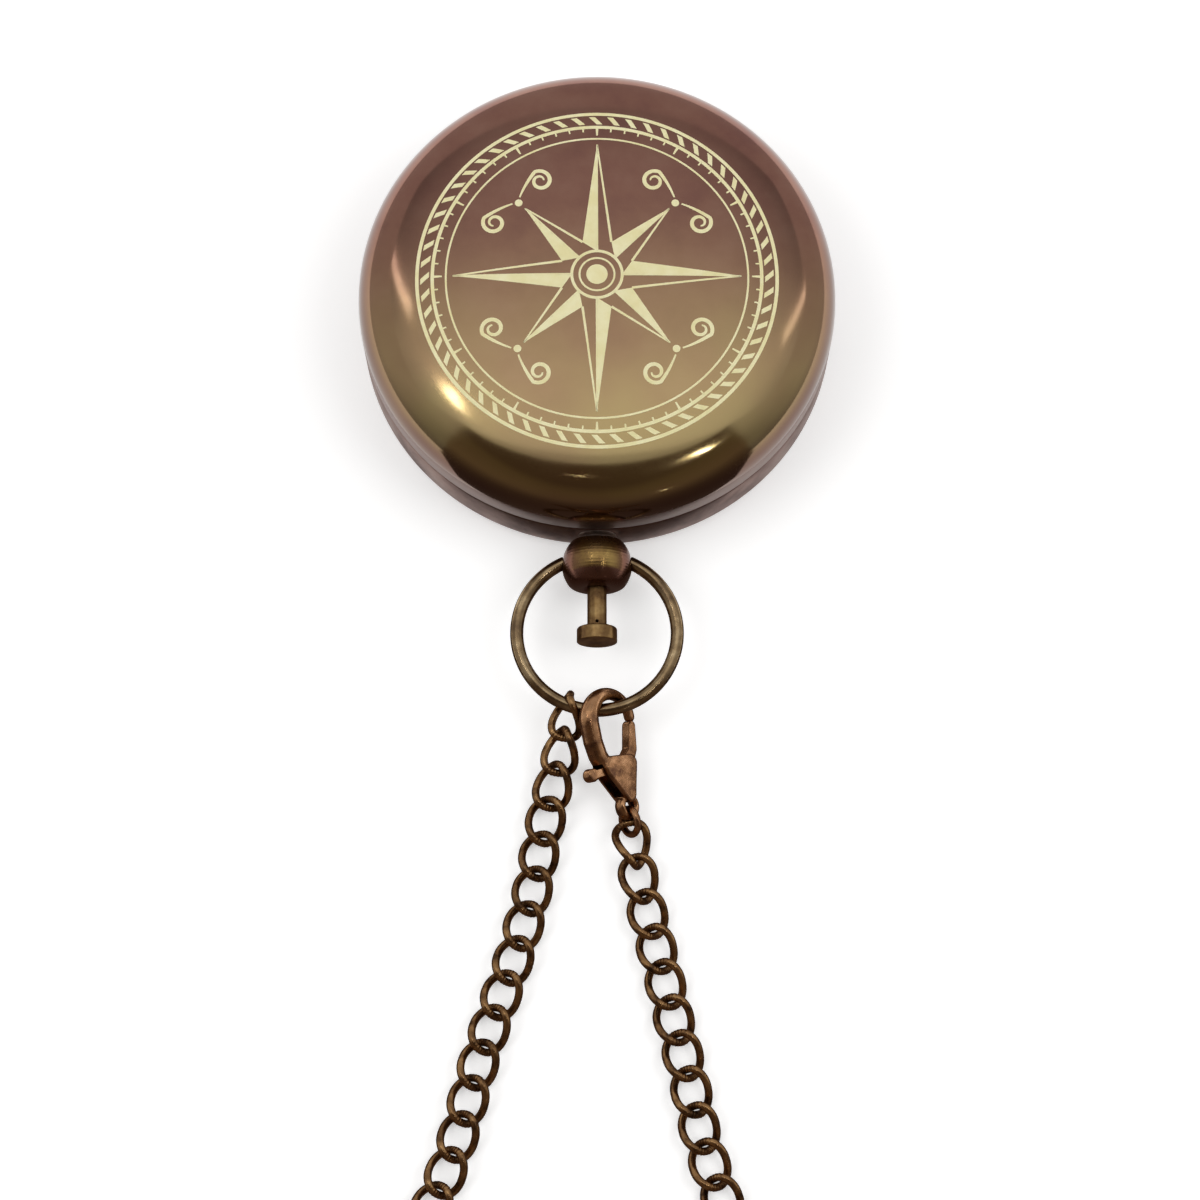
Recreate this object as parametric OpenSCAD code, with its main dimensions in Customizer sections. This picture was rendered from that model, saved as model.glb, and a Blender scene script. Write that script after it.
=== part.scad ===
// Pocket compass in a closed hunter case, lying on its back with its chain laid out in front.
// The origin is on the case axis, at the surface that the case rests on. The pendant points to -Y.

/* [Case] */
// Outer radius of the case and of the lid
case_r = 25; // [24.5:0.1:26]
// Wall and floor of the case cup
case_wall = 0.9; // [0.8:0.05:1]
// Rounding of the cup's lower edge
case_edge_r = 2.4; // [2.1:0.1:2.8]
// Height of the seam between cup and lid
seam_z = 6.8; // [6.7:0.05:7]
// Open line at the seam
seam_gap = 0.12; // [0.08:0.02:0.16]

/* [Lid] */
// Wall of the lid
lid_wall = 0.8; // [0.7:0.05:0.9]
// Straight band of the lid above the seam
lid_band_h = 2.4; // [2.2:0.1:2.8]
// Radius of the lid's shoulder
lid_shoulder_r = 4.6; // [4.2:0.1:5]
// Rise of the dome above the shoulder
lid_rise = 1.2; // [0.8:0.1:1.8]

/* [Hinge] */
// Radius of the hinge knuckles
knuckle_r = 1; // [0.9:0.05:1.1]
// Radius of the hinge pin
hinge_pin_r = 0.4; // [0.35:0.05:0.5]
// Length of the lid's knuckle
lid_knuckle_len = 2.8; // [2.6:0.1:3.2]
// Length of each of the cup's two knuckles
case_knuckle_len = 2.4; // [2.2:0.1:2.8]
// Height of the web that holds a knuckle
knuckle_web_h = 1.7; // [1.6:0.05:2]

/* [Pendant] */
// Height of the pendant axis
pendant_z = 4.7; // [4.6:0.05:4.8]
// Radius of the neck
neck_r = 1.95; // [1.8:0.05:2]
// Length of the neck between case and ball
neck_len = 0.75; // [0.7:0.05:1]
// Radius of the turned ball
ball_r = 3.63; // [3.4:0.05:3.8]
// Length of the ball along the pendant axis, as an uncut oval
ball_len = 7.2; // [6.8:0.1:7.5]

/* [Push button] */
// Radius of the stem
stem_r = 1; // [0.9:0.05:1.1]
// Length of stem that shows between ball and head
stem_show = 4.2; // [4:0.05:4.5]
// Radius of the head
head_r = 2.08; // [1.9:0.05:2.3]
// Length of the head
head_len = 1.5; // [1.4:0.1:1.9]
// Travel of the button, which the catch spring needs as room behind it
press_travel = 1.2; // [1:0.1:1.2]

/* [Bow] */
// Radius of the bow to the middle of its wire
bow_r = 8.25; // [8:0.05:8.5]
// Radius of the bow's wire
bow_wire_r = 0.68; // [0.6:0.02:0.7]
// Radius of the pins that turn in the ball
bow_pin_r = 0.5; // [0.4:0.05:0.55]

/* [Compass] */
// Room for the two springs between the capsule and the outside of the case
capsule_room = 5.6; // [5.4:0.1:5.8]
// Height of the capsule's rim
capsule_top_z = 7.4; // [7.2:0.05:7.5]
// Thickness of the crystal
crystal_t = 0.9; // [0.7:0.05:1]
// Thickness of the dial plate
dial_t = 0.6; // [0.4:0.05:0.8]
// Distance from the needle's tips to the capsule's wall
needle_clear = 2.4; // [1.5:0.1:3.5]
// Half width of the needle at its hub
needle_half_w = 1.5; // [1.3:0.1:1.8]
// Thickness of the needle
needle_t = 0.3; // [0.2:0.05:0.35]

/* [Clasp] */
// Half width of the claw to the middle of its arm
claw_half_w = 3.05; // [2.95:0.05:3.1]
// Rise of the claw above its widest place, to the middle of its arm
claw_rise = 2.7; // [2.6:0.05:2.8]
// Radius of the claw's arm where it is thickest
claw_arm_r = 1; // [0.9:0.05:1.05]
// Radius of the claw's tip
claw_tip_r = 0.56; // [0.5:0.02:0.58]
// Thickness of the clasp's body
clasp_t = 2.2; // [2.1:0.05:2.4]
// Radius of the clasp's rivet
rivet_r = 0.4; // [0.35:0.05:0.45]

/* [Chain] */
// Radius of the chain's wire
link_wire_r = 0.4; // [0.36:0.02:0.42]
// Length of a link along the middle of its wire
link_len = 4.55; // [4.5:0.05:4.65]
// Width of a link across the middle of its wire
link_width = 3.4; // [3.3:0.05:3.5]
// Twist of each end of a link out of the flat
link_twist = 45; // [40:1:50]
// Distance from link to link
link_pitch = 3.65; // [3.6:0.05:3.7]

/* [Hidden] */
$fn = 64;

// Finishes as the photograph shows them
case_tone = "#6B4A33";
turned_tone = "#8A6A3A";
bow_tone = "#7A5C3C";
clasp_tone = "#8A5A38";
chain_tone = "#7A5428";
steel_tone = "#9A9C9E";
card_tone = "#E9E1CC";
glass_tone = "#DCEBEE";
glass_alpha = 0.4;

// Clearances and small sizes that several pieces share
overrun = 1;
fit = 0.03;
slide_fit = 0.05;
side_gap = 0.1;
arc_steps = 12;

// Case and lid radii that follow from the walls
cup_inner_r = case_r - case_wall;
lid_inner_r = case_r - lid_wall;
lid_foot_z = seam_z + seam_gap;
lid_band_z = seam_z + lid_band_h;
shoulder_c = case_r - lid_shoulder_r;
dome_angle = 90 - 2 * atan(lid_rise / shoulder_c);
dome_r = (shoulder_c + lid_shoulder_r * cos(dome_angle)) / cos(dome_angle);
dome_c = lid_band_z + lid_shoulder_r + lid_rise - dome_r;

// Hinge at the seam, behind the case
hinge_set = 0.2;
hinge_y = case_r + hinge_set;
hinge_z = seam_z;
case_knuckle_x = lid_knuckle_len / 2 + side_gap + case_knuckle_len / 2;
tongue_len = 1.6;
tongue_in = lid_inner_r - tongue_len;
tongue_half_w = 1.2;
tongue_h = 0.45;
latch_gap = 0.15;

// Pendant distances run outwards from the case axis
neck_end = case_r + neck_len;
ball_set = 2.45;
ball_c = neck_end + ball_set;
ball_cut_share = 0.7125;
ball_end = ball_c + ball_cut_share * ball_len / 2;
head_start = ball_end + stem_show;
head_end = head_start + head_len;
head_wall = 0.5;
head_chamfer = 0.25;
stem_hole_r = 0.17;
stem_hole_from_head = 0.5;
circlip_r = 1.7;
circlip_t = 0.4;
bow_sunk = 0.28;
bow_end_x = ball_r - bow_sunk;
bow_set_back = 0.3;
bow_axis = ball_c - bow_set_back;
bow_c = bow_axis + sqrt(bow_r * bow_r - bow_end_x * bow_end_x);
bow_swing_room = 0.18;
bow_pin_len = 1.9;
bow_end_angle = asin(bow_end_x / bow_r);

// Springs in the channel between capsule and cup
capsule_r = case_r - capsule_room;
leaf_room = 0.5;
band_r = capsule_r + leaf_room + press_travel;
band_t = 0.35;
band_z = 3.6;
band_h = 2.2;
stem_inner = band_r + band_t + slide_fit;
spring_foot_gap = 0.35;
spring_foot_in = capsule_r + spring_foot_gap;
spring_foot_h = 0.6;
spring_foot_angle = 7;
spring_foot_margin = 1;
catch_sweep = 42;
lift_sweep = 48;
hook_half_w = 1.4;
hook_t = 0.4;
hook_bite = 0.5;
catch_len = 1.75;
catch_reach = lid_inner_r - catch_len;
catch_half_w = 1.5;
hook_reach = catch_reach + hook_bite;
lid_part_z = seam_z + latch_gap;
hook_z = lid_part_z + tongue_h + slide_fit;
lift_tip_half_w = 1;
lift_tip_reach = cup_inner_r - 2 * side_gap;
screw_r = 0.4;
screw_head_r = 0.65;
screw_head_h = 0.5;
screw_slot_w = 0.2;
screw_slot_depth = 0.25;
screw_depth = 0.7;
screw_place_r = band_r - screw_head_r - slide_fit;

// Compass heights from the cup's floor upwards
capsule_wall = 1.5;
capsule_floor = 0.8;
dial_z = case_wall + capsule_floor;
capsule_inner_r = capsule_r - capsule_wall;
crystal_lip = 0.5;
crystal_r = capsule_inner_r + crystal_lip;
crystal_z = capsule_top_z - crystal_t;
needle_reach = capsule_inner_r - needle_clear;
bezel_t = 0.8;
bezel_flat = 0.25;
bezel_edge_t = 0.6;
bezel_edge_z = seam_z - side_gap;
bezel_notch_in = capsule_r + leaf_room - side_gap;
bezel_notch_half_w = 1.9;
bezel_lift_half_w = 2.4;
needle_z = 3.9;
post_base_r = 1.4;
post_base_h = 0.5;
post_neck_z = 3.55;
post_pin_r = 0.22;
post_tip_z = 4.66;
post_point_h = 0.45;
cap_apex_z = 4.7;
cap_mouth_r = 0.55;
cap_foot_z = 3.8;
cap_boss_r = 0.9;
cap_flange_r = 1.6;
cap_flange_t = 0.2;
cap_top_z = 5.3;

// Clasp places, across and along its own axis from the bow's wire towards the tail
clasp_x = 1.3;
clasp_at = [clasp_x, -bow_c - sqrt(bow_r * bow_r - clasp_x * clasp_x), pendant_z];
clasp_plan_turn = 10.5;
clasp_droop = 15.2;
clasp_roll = 45;
claw_gap = 0.26;
claw_steps = 14;
claw_sides = 12;
claw_from = -2;
claw_x = -0.35;
claw_swell = 4;
claw_top_r = claw_tip_r + (claw_arm_r - claw_tip_r) * pow(sin(45), claw_swell);
claw_y = bow_wire_r + claw_gap + claw_top_r - claw_rise;
claw_heel = [[-3.35, -2.9], [-3, -4.4], [-2.2, -5.8]];
body_left = [-2, -5.7];
body_right = [0.7, -5.7];
body_tail = [-0.05, -8.95];
body_left_r = 1.1;
body_right_r = 0.95;
body_tail_r = 0.7;
slot_w = 1.4;
lever_t = 1.2;
lever_pivot = [0.75, -5.75];
lever_tip = [2.4, -1.95];
lever_knee = [1.85, -4.5];
lever_thumb = [-4.6, -6.2];
lever_tip_r = 0.45;
lever_knee_r = 0.58;
lever_hub_r = 0.85;
lever_arm_r = 0.45;
lever_thumb_r = 0.7;
slot_outline = [
    [-5.4, -5.35], [-0.9, -5.15], [-0.3, -4.9], [0.2, -4],
    [3.4, -4], [3.4, -6.9], [1.1, -7.1], [-1.2, -9.2], [-5.4, -9.2]
];
eye_y = -10.05;
eye_mid_r = 1.03;
eye_half_w = 0.38;
eye_half_len = 0.66;
ring_r = 1.32;
ring_wire_r = 0.36;
ring_y = eye_y - eye_mid_r + eye_half_w + ring_wire_r + slide_fit - ring_r;
ring_turn = -12;
clasp_spring_r = 0.16;
clasp_spring_foot = [0.25, -7.9];
clasp_spring_head = [-0.6, -6.6];

// Middle line and radius of the claw, from its tip over the top and down into the body
claw_line = concat(
    [for (i = [0:claw_steps]) let (a = claw_turn(i)) [
        claw_x + claw_half_w * cos(a), claw_y + claw_rise * sin(a), 0
    ]],
    [for (p = claw_heel) [p[0], p[1], 0]]
);
claw_last = len(claw_line) - 1;
function claw_turn(i) = claw_from + (180 - claw_from) * i / claw_steps;
function claw_radius(i) = claw_tip_r
    + (claw_arm_r - claw_tip_r) * pow(sin(min(claw_turn(i), 180) / 2), claw_swell);

// Route of the chain, from the bow round the fold and back to the clasp ring
lie = 1.15;
route = [
    [-2.9, -43.2, 4.7], [-3.4, -46.5, 3.4], [-4.3, -50.2, 1.8], [-5.2, -54, lie],
    [-5.9, -58, lie], [-6.6, -62, lie], [-7.6, -66, lie], [-8.8, -70, lie],
    [-10.2, -74, lie], [-11.5, -78, lie], [-12.6, -82, lie], [-13.6, -86, lie],
    [-14.9, -90, lie], [-16.6, -94, lie], [-19.6, -99, lie], [-23.4, -104.5, lie],
    [-26.4, -110, lie], [-27.9, -116, lie], [-27.9, -129.9, lie], [-22.5, -135.3, lie],
    [-14.7, -135.3, lie], [-9.3, -129.9, lie], [-9.3, -116, lie], [-9.3, -102.5, lie],
    [-3.9, -97.1, lie], [3.9, -97.1, lie], [9.3, -102.5, lie], [9.3, -116, lie],
    [9.3, -129.9, lie], [14.7, -135.3, lie], [22.5, -135.3, lie], [27.9, -129.9, lie],
    [27.9, -116, lie], [26, -109.5, lie], [22, -104, lie], [17, -99, lie],
    [13.1, -94.5, lie], [11.4, -90, lie], [10.2, -86, lie], [9.4, -82, lie],
    [8.5, -78, lie], [7.5, -74, lie], [6.6, -70, lie], [5.6, -66, lie],
    [4.6, -62, 1.3], [3.8, -58.5, 1.8], [3.4, -55.5, 1.5]
];
knee_y = -94.6;
corner_share = 0.25;
link_start = link_len / 2 - link_wire_r - bow_wire_r - side_gap;
link_finish = link_len / 2 - link_wire_r - ring_wire_r - slide_fit;
link_rings = 16;
link_sides = 6;
roll_step = 15;
end_roll = 30;
ring_probe = 4;
link_fullness = 0.75;

// Rounds the corners of a route by cutting each one twice
function cut_corners(p) = concat(
    [p[0]],
    [for (i = [0:len(p) - 2], s = [corner_share, 1 - corner_share]) p[i] * (1 - s) + p[i + 1] * s],
    [p[len(p) - 1]]
);
smooth_route = cut_corners(cut_corners(route));
route_run = [
    for (i = 0, s = 0; i < len(smooth_route);
        s = i < len(smooth_route) - 1 ? s + norm(smooth_route[i + 1] - smooth_route[i]) : s,
        i = i + 1) s
];
route_len = route_run[len(route_run) - 1];
function run_index(s) = max([for (j = [0:len(route_run) - 2]) if (route_run[j] <= s) j]);
function route_at(s) = let (
        j = run_index(s),
        u = (s - route_run[j]) / (route_run[j + 1] - route_run[j])
    ) smooth_route[j] * (1 - u) + smooth_route[j + 1] * u;
link_count = 1 + round((route_len - link_start - link_finish) / link_pitch);
link_step = (route_len - link_start - link_finish) / (link_count - 1);
function link_s(i) = link_start + i * link_step;
function link_y(i) = route_at(link_s(i))[1];
function link_roll(i) = max(0, link_twist - roll_step * i, end_roll - roll_step * (link_count - 1 - i));
echo(chain_length = link_count * link_step, links = link_count, step = link_step);

// Rings of points round a middle line, and the faces of the tube that they make
function unit(v) = v / norm(v);
function ring_of(p, along, r, sides) = let (
        out = unit(cross(along, [0, 0, 1])),
        up = cross(out, unit(along))
    ) [for (k = [0:sides - 1]) let (a = 360 * (k + 0.5) / sides) p + r * (cos(a) * out + sin(a) * up)];
function wall_faces(rings, sides, closed) = [
    for (i = [0:rings - (closed ? 1 : 2)], k = [0:sides - 1], half = [0, 1])
        let (
            n = (i + 1) % rings,
            m = (k + 1) % sides,
            a = i * sides + k,
            b = i * sides + m,
            c = n * sides + k,
            d = n * sides + m
        ) half == 0 ? [a, b, d] : [a, d, c]
];

// One twisted link
function full(c) = sign(c) * pow(abs(c), link_fullness);
function link_mid(t) = let (
        x = link_len / 2 * full(cos(t)),
        y = link_width / 2 * full(sin(t)),
        a = -2 * link_twist * x / link_len
    ) [x, y * cos(a), y * sin(a)];
link_points = [
    for (i = [0:link_rings - 1]) let (t = 360 * (i + 0.5) / link_rings)
        each ring_of(link_mid(t), link_mid(t + ring_probe) - link_mid(t - ring_probe),
            link_wire_r, link_sides)
];
link_faces = wall_faces(link_rings, link_sides, true);

module curb_link() {
    polyhedron(points = link_points, faces = link_faces);
}

// Places link i on the route, turned along it, and rolled where it hangs on the bow or the ring
module place_link(i) {
    s = link_s(i);
    reach = link_step / 2;
    ahead = route_at(min(s + reach, route_len));
    behind = route_at(max(s - reach, 0));
    d = ahead - behind;
    translate(route_at(s))
        rotate([0, -atan2(d[2], norm([d[0], d[1]])), atan2(d[1], d[0])])
            rotate([link_roll(i), 0, 0])
                children();
}

function in_front(i) = link_y(i) > knee_y;
function on_left(i) = i < link_count / 2;

// Profiles
function arc(c, r, from, to, steps = arc_steps) =
    [for (i = [0:steps]) let (a = from + (to - from) * i / steps) c + r * [cos(a), sin(a)]];

function ball_points(from, to) =
    [for (i = [0:arc_steps]) let (a = from + (to - from) * i / arc_steps)
        [ball_r * cos(a), ball_c + ball_len / 2 * sin(a)]];

module turned_out() {
    translate([0, 0, pendant_z]) rotate([90, 0, 0]) children();
}

module rod(p, q, r) {
    d = q - p;
    translate(p) rotate([0, acos(d[2] / norm(d)), atan2(d[1], d[0])])
        cylinder(r = r, h = norm(d));
}

module x_rod(x0, x1, r) {
    translate([x0, 0, 0]) rotate([0, 90, 0]) cylinder(r = r, h = x1 - x0);
}

module case_cup() {
    c = [case_r - case_edge_r, case_edge_r];
    color(case_tone) difference() {
        rotate_extrude($fn = 96) polygon(concat(
            [[0, 0]],
            arc(c, case_edge_r, -90, 0),
            [[case_r, seam_z], [cup_inner_r, seam_z]],
            arc(c, case_edge_r - case_wall, 0, -90),
            [[0, case_wall]]
        ));
        turned_out() translate([0, 0, cup_inner_r - overrun])
            cylinder(r = stem_r + side_gap, h = case_wall + 2 * overrun);
        hinge_notch(lid_knuckle_len + 2 * side_gap, hinge_z - knuckle_r - side_gap,
            knuckle_r + overrun);
        for (side = [-1, 1]) translate([side * case_knuckle_x, 0, 0])
            hinge_notch(case_knuckle_len, hinge_z - knuckle_web_h, knuckle_web_h + overrun);
        screw_seat(-90 - catch_sweep);
        screw_seat(90 + lift_sweep);
    }
}

module hinge_notch(length, z, h) {
    translate([-length / 2, cup_inner_r - overrun, z]) cube([length, case_wall + 2 * overrun, h]);
}

// Blind hole in the cup's floor for a spring screw
module screw_seat(at) {
    rotate([0, 0, at]) translate([screw_place_r, 0, case_wall - screw_depth - fit])
        cylinder(r = screw_r + fit, h = screw_depth + overrun);
}

module pendant_neck() {
    color(turned_tone) difference() {
        turned_out() rotate_extrude() polygon([
            [stem_r + slide_fit, cup_inner_r], [neck_r, cup_inner_r],
            [neck_r, neck_end], [stem_r + slide_fit, neck_end]
        ]);
        cylinder(r = case_r, h = seam_z + overrun, $fn = 96);
    }
}

module pendant_ball() {
    color(turned_tone) difference() {
        turned_out() rotate_extrude() polygon(concat(
            [[stem_r + slide_fit, neck_end]],
            ball_points(asin(2 * (neck_end - ball_c) / ball_len), asin(ball_cut_share)),
            [[stem_r + slide_fit, ball_end]]
        ));
        for (side = [0, 1]) mirror([side, 0, 0]) translate([0, -bow_axis, pendant_z]) {
            x_rod(bow_end_x - bow_pin_len - side_gap, ball_r + overrun, bow_pin_r + slide_fit);
            x_rod(bow_end_x - bow_wire_r * sin(bow_end_angle) - side_gap, ball_r + overrun,
                bow_wire_r + bow_swing_room + slide_fit);
        }
    }
}

module case_knuckles() {
    color(case_tone) for (side = [-1, 1]) translate([side * case_knuckle_x, 0, 0])
        knuckle(case_knuckle_len, -1);
}

// A knuckle on the hinge axis, with its web down into the cup (way -1) or up into the lid (way 1)
module knuckle(length, way) {
    difference() {
        union() {
            translate([-length / 2, hinge_y, hinge_z]) x_rod(0, length, knuckle_r);
            translate([-length / 2, lid_inner_r, way < 0 ? hinge_z - knuckle_web_h : hinge_z])
                cube([length, hinge_y - lid_inner_r, knuckle_web_h]);
        }
        translate([-length / 2, hinge_y, hinge_z]) x_rod(-overrun, length + overrun, hinge_pin_r + fit);
    }
}

module hinge_pin() {
    half = case_knuckle_x + case_knuckle_len / 2;
    color(turned_tone) translate([0, hinge_y, hinge_z]) x_rod(-half, half, hinge_pin_r);
}

module sector(a, b) {
    rotate([0, 0, min(a, b)]) rotate_extrude(angle = abs(b - a), $fn = 96) children();
}

// The leaf that both springs share: a curved band, an upright at one end and a foot at the other
module spring_leaf(at, sweep, half_w, top) {
    half = asin(half_w / band_r);
    way = sign(sweep);
    foot_at = at + sweep;
    foot_half = spring_foot_angle / 2 + spring_foot_margin;
    foot_z = case_wall + spring_foot_h / 2;
    difference() {
        union() {
            difference() {
                sector(at - way * half, foot_at + way * foot_half)
                    translate([band_r, foot_z]) square([band_t, top - foot_z]);
                sector(at - way * 2 * half, foot_at - way * foot_half)
                    translate([band_r - band_t, 0]) square([3 * band_t, band_z]);
                sector(at + way * half, foot_at + way * 2 * foot_half)
                    translate([band_r - band_t, band_z + band_h]) square([3 * band_t, top]);
            }
            sector(foot_at - spring_foot_angle / 2, foot_at + spring_foot_angle / 2)
                translate([spring_foot_in, case_wall])
                    square([band_r - spring_foot_in + band_t / 2, spring_foot_h]);
        }
        rotate([0, 0, foot_at]) translate([screw_place_r, 0, case_wall - overrun])
            cylinder(r = screw_r + fit, h = spring_foot_h + 2 * overrun);
    }
}

module catch_spring() {
    plate_half_w = hook_half_w - side_gap;
    color(steel_tone) union() {
        spring_leaf(-90, -catch_sweep, hook_half_w, hook_z + hook_t / 2);
        translate([-plate_half_w, -hook_reach, hook_z])
            cube([2 * plate_half_w, hook_reach - band_r - band_t / 2, hook_t]);
    }
}

module lift_spring() {
    tip_z = lid_part_z - slide_fit;
    plate_half_w = lift_tip_half_w - side_gap;
    color(steel_tone) union() {
        spring_leaf(90, lift_sweep, lift_tip_half_w, tip_z - hook_t / 2);
        translate([-plate_half_w, band_r + band_t / 2, tip_z - hook_t])
            cube([2 * plate_half_w, lift_tip_reach - band_r - band_t / 2, hook_t]);
    }
}

module spring_screw(at) {
    head_z = case_wall + spring_foot_h;
    color(steel_tone) rotate([0, 0, at]) translate([screw_place_r, 0, 0]) difference() {
        union() {
            translate([0, 0, case_wall - screw_depth])
                cylinder(r = screw_r, h = screw_depth + spring_foot_h);
            translate([0, 0, head_z]) cylinder(r = screw_head_r, h = screw_head_h);
        }
        translate([-screw_head_r - overrun, -screw_slot_w / 2, head_z + screw_head_h - screw_slot_depth])
            cube([2 * (screw_head_r + overrun), screw_slot_w, screw_slot_depth + overrun]);
    }
}

module catch_spring_screw() {
    spring_screw(-90 - catch_sweep);
}

module lift_spring_screw() {
    spring_screw(90 + lift_sweep);
}

module capsule_cup() {
    color(turned_tone) rotate_extrude($fn = 96) polygon([
        [0, case_wall], [capsule_r, case_wall], [capsule_r, capsule_top_z],
        [crystal_r + side_gap, capsule_top_z], [crystal_r + side_gap, crystal_z],
        [capsule_inner_r, crystal_z], [capsule_inner_r, dial_z], [0, dial_z]
    ]);
}

module dial_plate() {
    color(card_tone) translate([0, 0, dial_z])
        cylinder(r = capsule_inner_r - slide_fit, h = dial_t, $fn = 96);
}

module pivot_post() {
    base_z = dial_z + dial_t;
    color(steel_tone) rotate_extrude() polygon([
        [0, base_z], [post_base_r, base_z], [post_base_r, base_z + post_base_h],
        [post_pin_r, post_neck_z], [post_pin_r, post_tip_z - post_point_h], [0, post_tip_z]
    ]);
}

module crystal() {
    color(glass_tone, glass_alpha) translate([0, 0, crystal_z])
        cylinder(r = crystal_r, h = crystal_t, $fn = 96);
}

module bezel_ring() {
    inner = capsule_inner_r;
    outer = cup_inner_r - slide_fit;
    color(turned_tone) difference() {
        rotate_extrude($fn = 96) polygon([
            [inner, capsule_top_z], [inner, capsule_top_z + bezel_t - bezel_flat],
            [inner + bezel_flat, capsule_top_z + bezel_t], [capsule_r, capsule_top_z + bezel_t],
            [outer, bezel_edge_z], [outer, bezel_edge_z - bezel_edge_t], [capsule_r, capsule_top_z]
        ]);
        translate([-bezel_notch_half_w, -case_r, 0]) bezel_notch(bezel_notch_half_w);
        translate([-bezel_lift_half_w, bezel_notch_in, 0]) bezel_notch(bezel_lift_half_w);
    }
}

module bezel_notch(half_w) {
    cube([2 * half_w, case_r - bezel_notch_in, 2 * capsule_top_z]);
}

module lid_shell() {
    shoulder = [shoulder_c, lid_band_z];
    dome_half = 90 - dome_angle;
    color(case_tone) difference() {
        rotate_extrude($fn = 96) polygon(concat(
            [[lid_inner_r, lid_foot_z], [case_r, lid_foot_z]],
            arc(shoulder, lid_shoulder_r, 0, dome_angle),
            arc([0, dome_c], dome_r, dome_angle + dome_half / arc_steps, 90, arc_steps - 1),
            arc([0, dome_c], dome_r - lid_wall, 90, dome_angle + dome_half / arc_steps, arc_steps - 1),
            arc(shoulder, lid_shoulder_r - lid_wall, dome_angle, 0)
        ));
        hinge_notch_up(0, lid_knuckle_len, knuckle_web_h);
        for (side = [-1, 1])
            hinge_notch_up(side * case_knuckle_x, case_knuckle_len + 2 * side_gap, knuckle_r + side_gap);
    }
}

module hinge_notch_up(x, length, h) {
    translate([x - length / 2, lid_inner_r - overrun, hinge_z - overrun])
        cube([length, lid_wall + 2 * overrun, h + overrun]);
}

module lid_knuckle() {
    color(case_tone) union() {
        knuckle(lid_knuckle_len, 1);
        translate([-tongue_half_w, tongue_in, lid_part_z])
            cube([2 * tongue_half_w, tongue_len + lid_wall / 2, tongue_h]);
    }
}

module lid_catch() {
    color(case_tone) intersection() {
        translate([-catch_half_w, -case_r, lid_part_z])
            cube([2 * catch_half_w, case_r - catch_reach, tongue_h]);
        cylinder(r = lid_inner_r, h = 2 * seam_z, $fn = 96);
    }
}

module push_stem() {
    color(turned_tone) difference() {
        turned_out() translate([0, 0, stem_inner])
            cylinder(r = stem_r, h = head_end - head_wall - stem_inner);
        translate([0, -head_start + stem_hole_from_head, 0])
            cylinder(r = stem_hole_r, h = 2 * pendant_z);
    }
}

module stem_circlip() {
    color(steel_tone) turned_out() translate([0, 0, cup_inner_r - circlip_t - side_gap]) difference() {
        cylinder(r = circlip_r, h = circlip_t);
        translate([0, 0, -overrun]) cylinder(r = stem_r + fit, h = circlip_t + 2 * overrun);
    }
}

module push_button() {
    color(turned_tone) turned_out() rotate_extrude() polygon([
        [stem_r + fit, head_start], [head_r - head_chamfer, head_start],
        [head_r, head_start + head_chamfer], [head_r, head_end],
        [0, head_end], [0, head_end - head_wall], [stem_r + fit, head_end - head_wall]
    ]);
}

module needle() {
    color(steel_tone) translate([0, 0, needle_z]) linear_extrude(needle_t) difference() {
        polygon([[0, needle_reach], [needle_half_w, 0], [0, -needle_reach], [-needle_half_w, 0]]);
        circle(r = cap_boss_r + fit / 2);
    }
}

module needle_cap() {
    top = needle_z + needle_t;
    color(turned_tone) rotate_extrude() polygon(concat(
        [[cap_mouth_r, cap_foot_z], [cap_boss_r, cap_foot_z], [cap_boss_r, top], [cap_flange_r, top],
            [cap_flange_r, top + cap_flange_t]],
        arc([0, top + cap_flange_t], cap_top_z - top - cap_flange_t, 0, 90),
        [[0, cap_apex_z]]
    ));
}

module bow() {
    color(bow_tone) translate([0, -bow_c, pendant_z]) union() {
        rotate([0, 0, 90 + bow_end_angle]) rotate_extrude(angle = 360 - 2 * bow_end_angle, $fn = 96)
            translate([bow_r, 0]) circle(r = bow_wire_r);
        for (side = [0, 1]) mirror([side, 0, 0]) translate([0, bow_c - bow_axis, 0])
            x_rod(bow_end_x - bow_pin_len, bow_end_x, bow_pin_r);
    }
}

// The clasp's own frame: x across, y from the tail to the bow, z out of its flat side
module on_clasp() {
    translate(clasp_at) rotate([0, 0, clasp_plan_turn]) rotate([clasp_droop, 0, 0])
        rotate([0, clasp_roll, 0]) children();
}

module slab(t) {
    translate([0, 0, -t / 2]) linear_extrude(t) children();
}

module spot(at, r) {
    translate(at) circle(r = r, $fn = 32);
}

module claw() {
    faces = wall_faces(claw_last + 1, claw_sides, false);
    polyhedron(
        points = [for (i = [0:claw_last]) each ring_of(
            claw_line[i], claw_line[min(i + 1, claw_last)] - claw_line[max(i - 1, 0)],
            claw_radius(i), claw_sides
        )],
        faces = concat(
            faces,
            [[for (k = [claw_sides - 1:-1:0]) k]],
            [[for (k = [0:claw_sides - 1]) claw_last * claw_sides + k]]
        )
    );
}

module clasp_body() {
    color(clasp_tone) on_clasp() difference() {
        union() {
            claw();
            slab(clasp_t) hull() {
                spot(body_left, body_left_r);
                spot(body_right, body_right_r);
                spot(body_tail, body_tail_r);
            }
            translate([0, eye_y, 0]) rotate_extrude() polygon(
                [for (i = [0:2 * arc_steps - 1]) let (a = 180 * i / arc_steps)
                    [eye_mid_r + eye_half_w * cos(a), eye_half_len * sin(a)]]
            );
        }
        slab(slot_w) polygon(slot_outline);
        translate([lever_pivot[0], lever_pivot[1], -clasp_t]) cylinder(r = rivet_r, h = 2 * clasp_t);
    }
}

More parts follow.
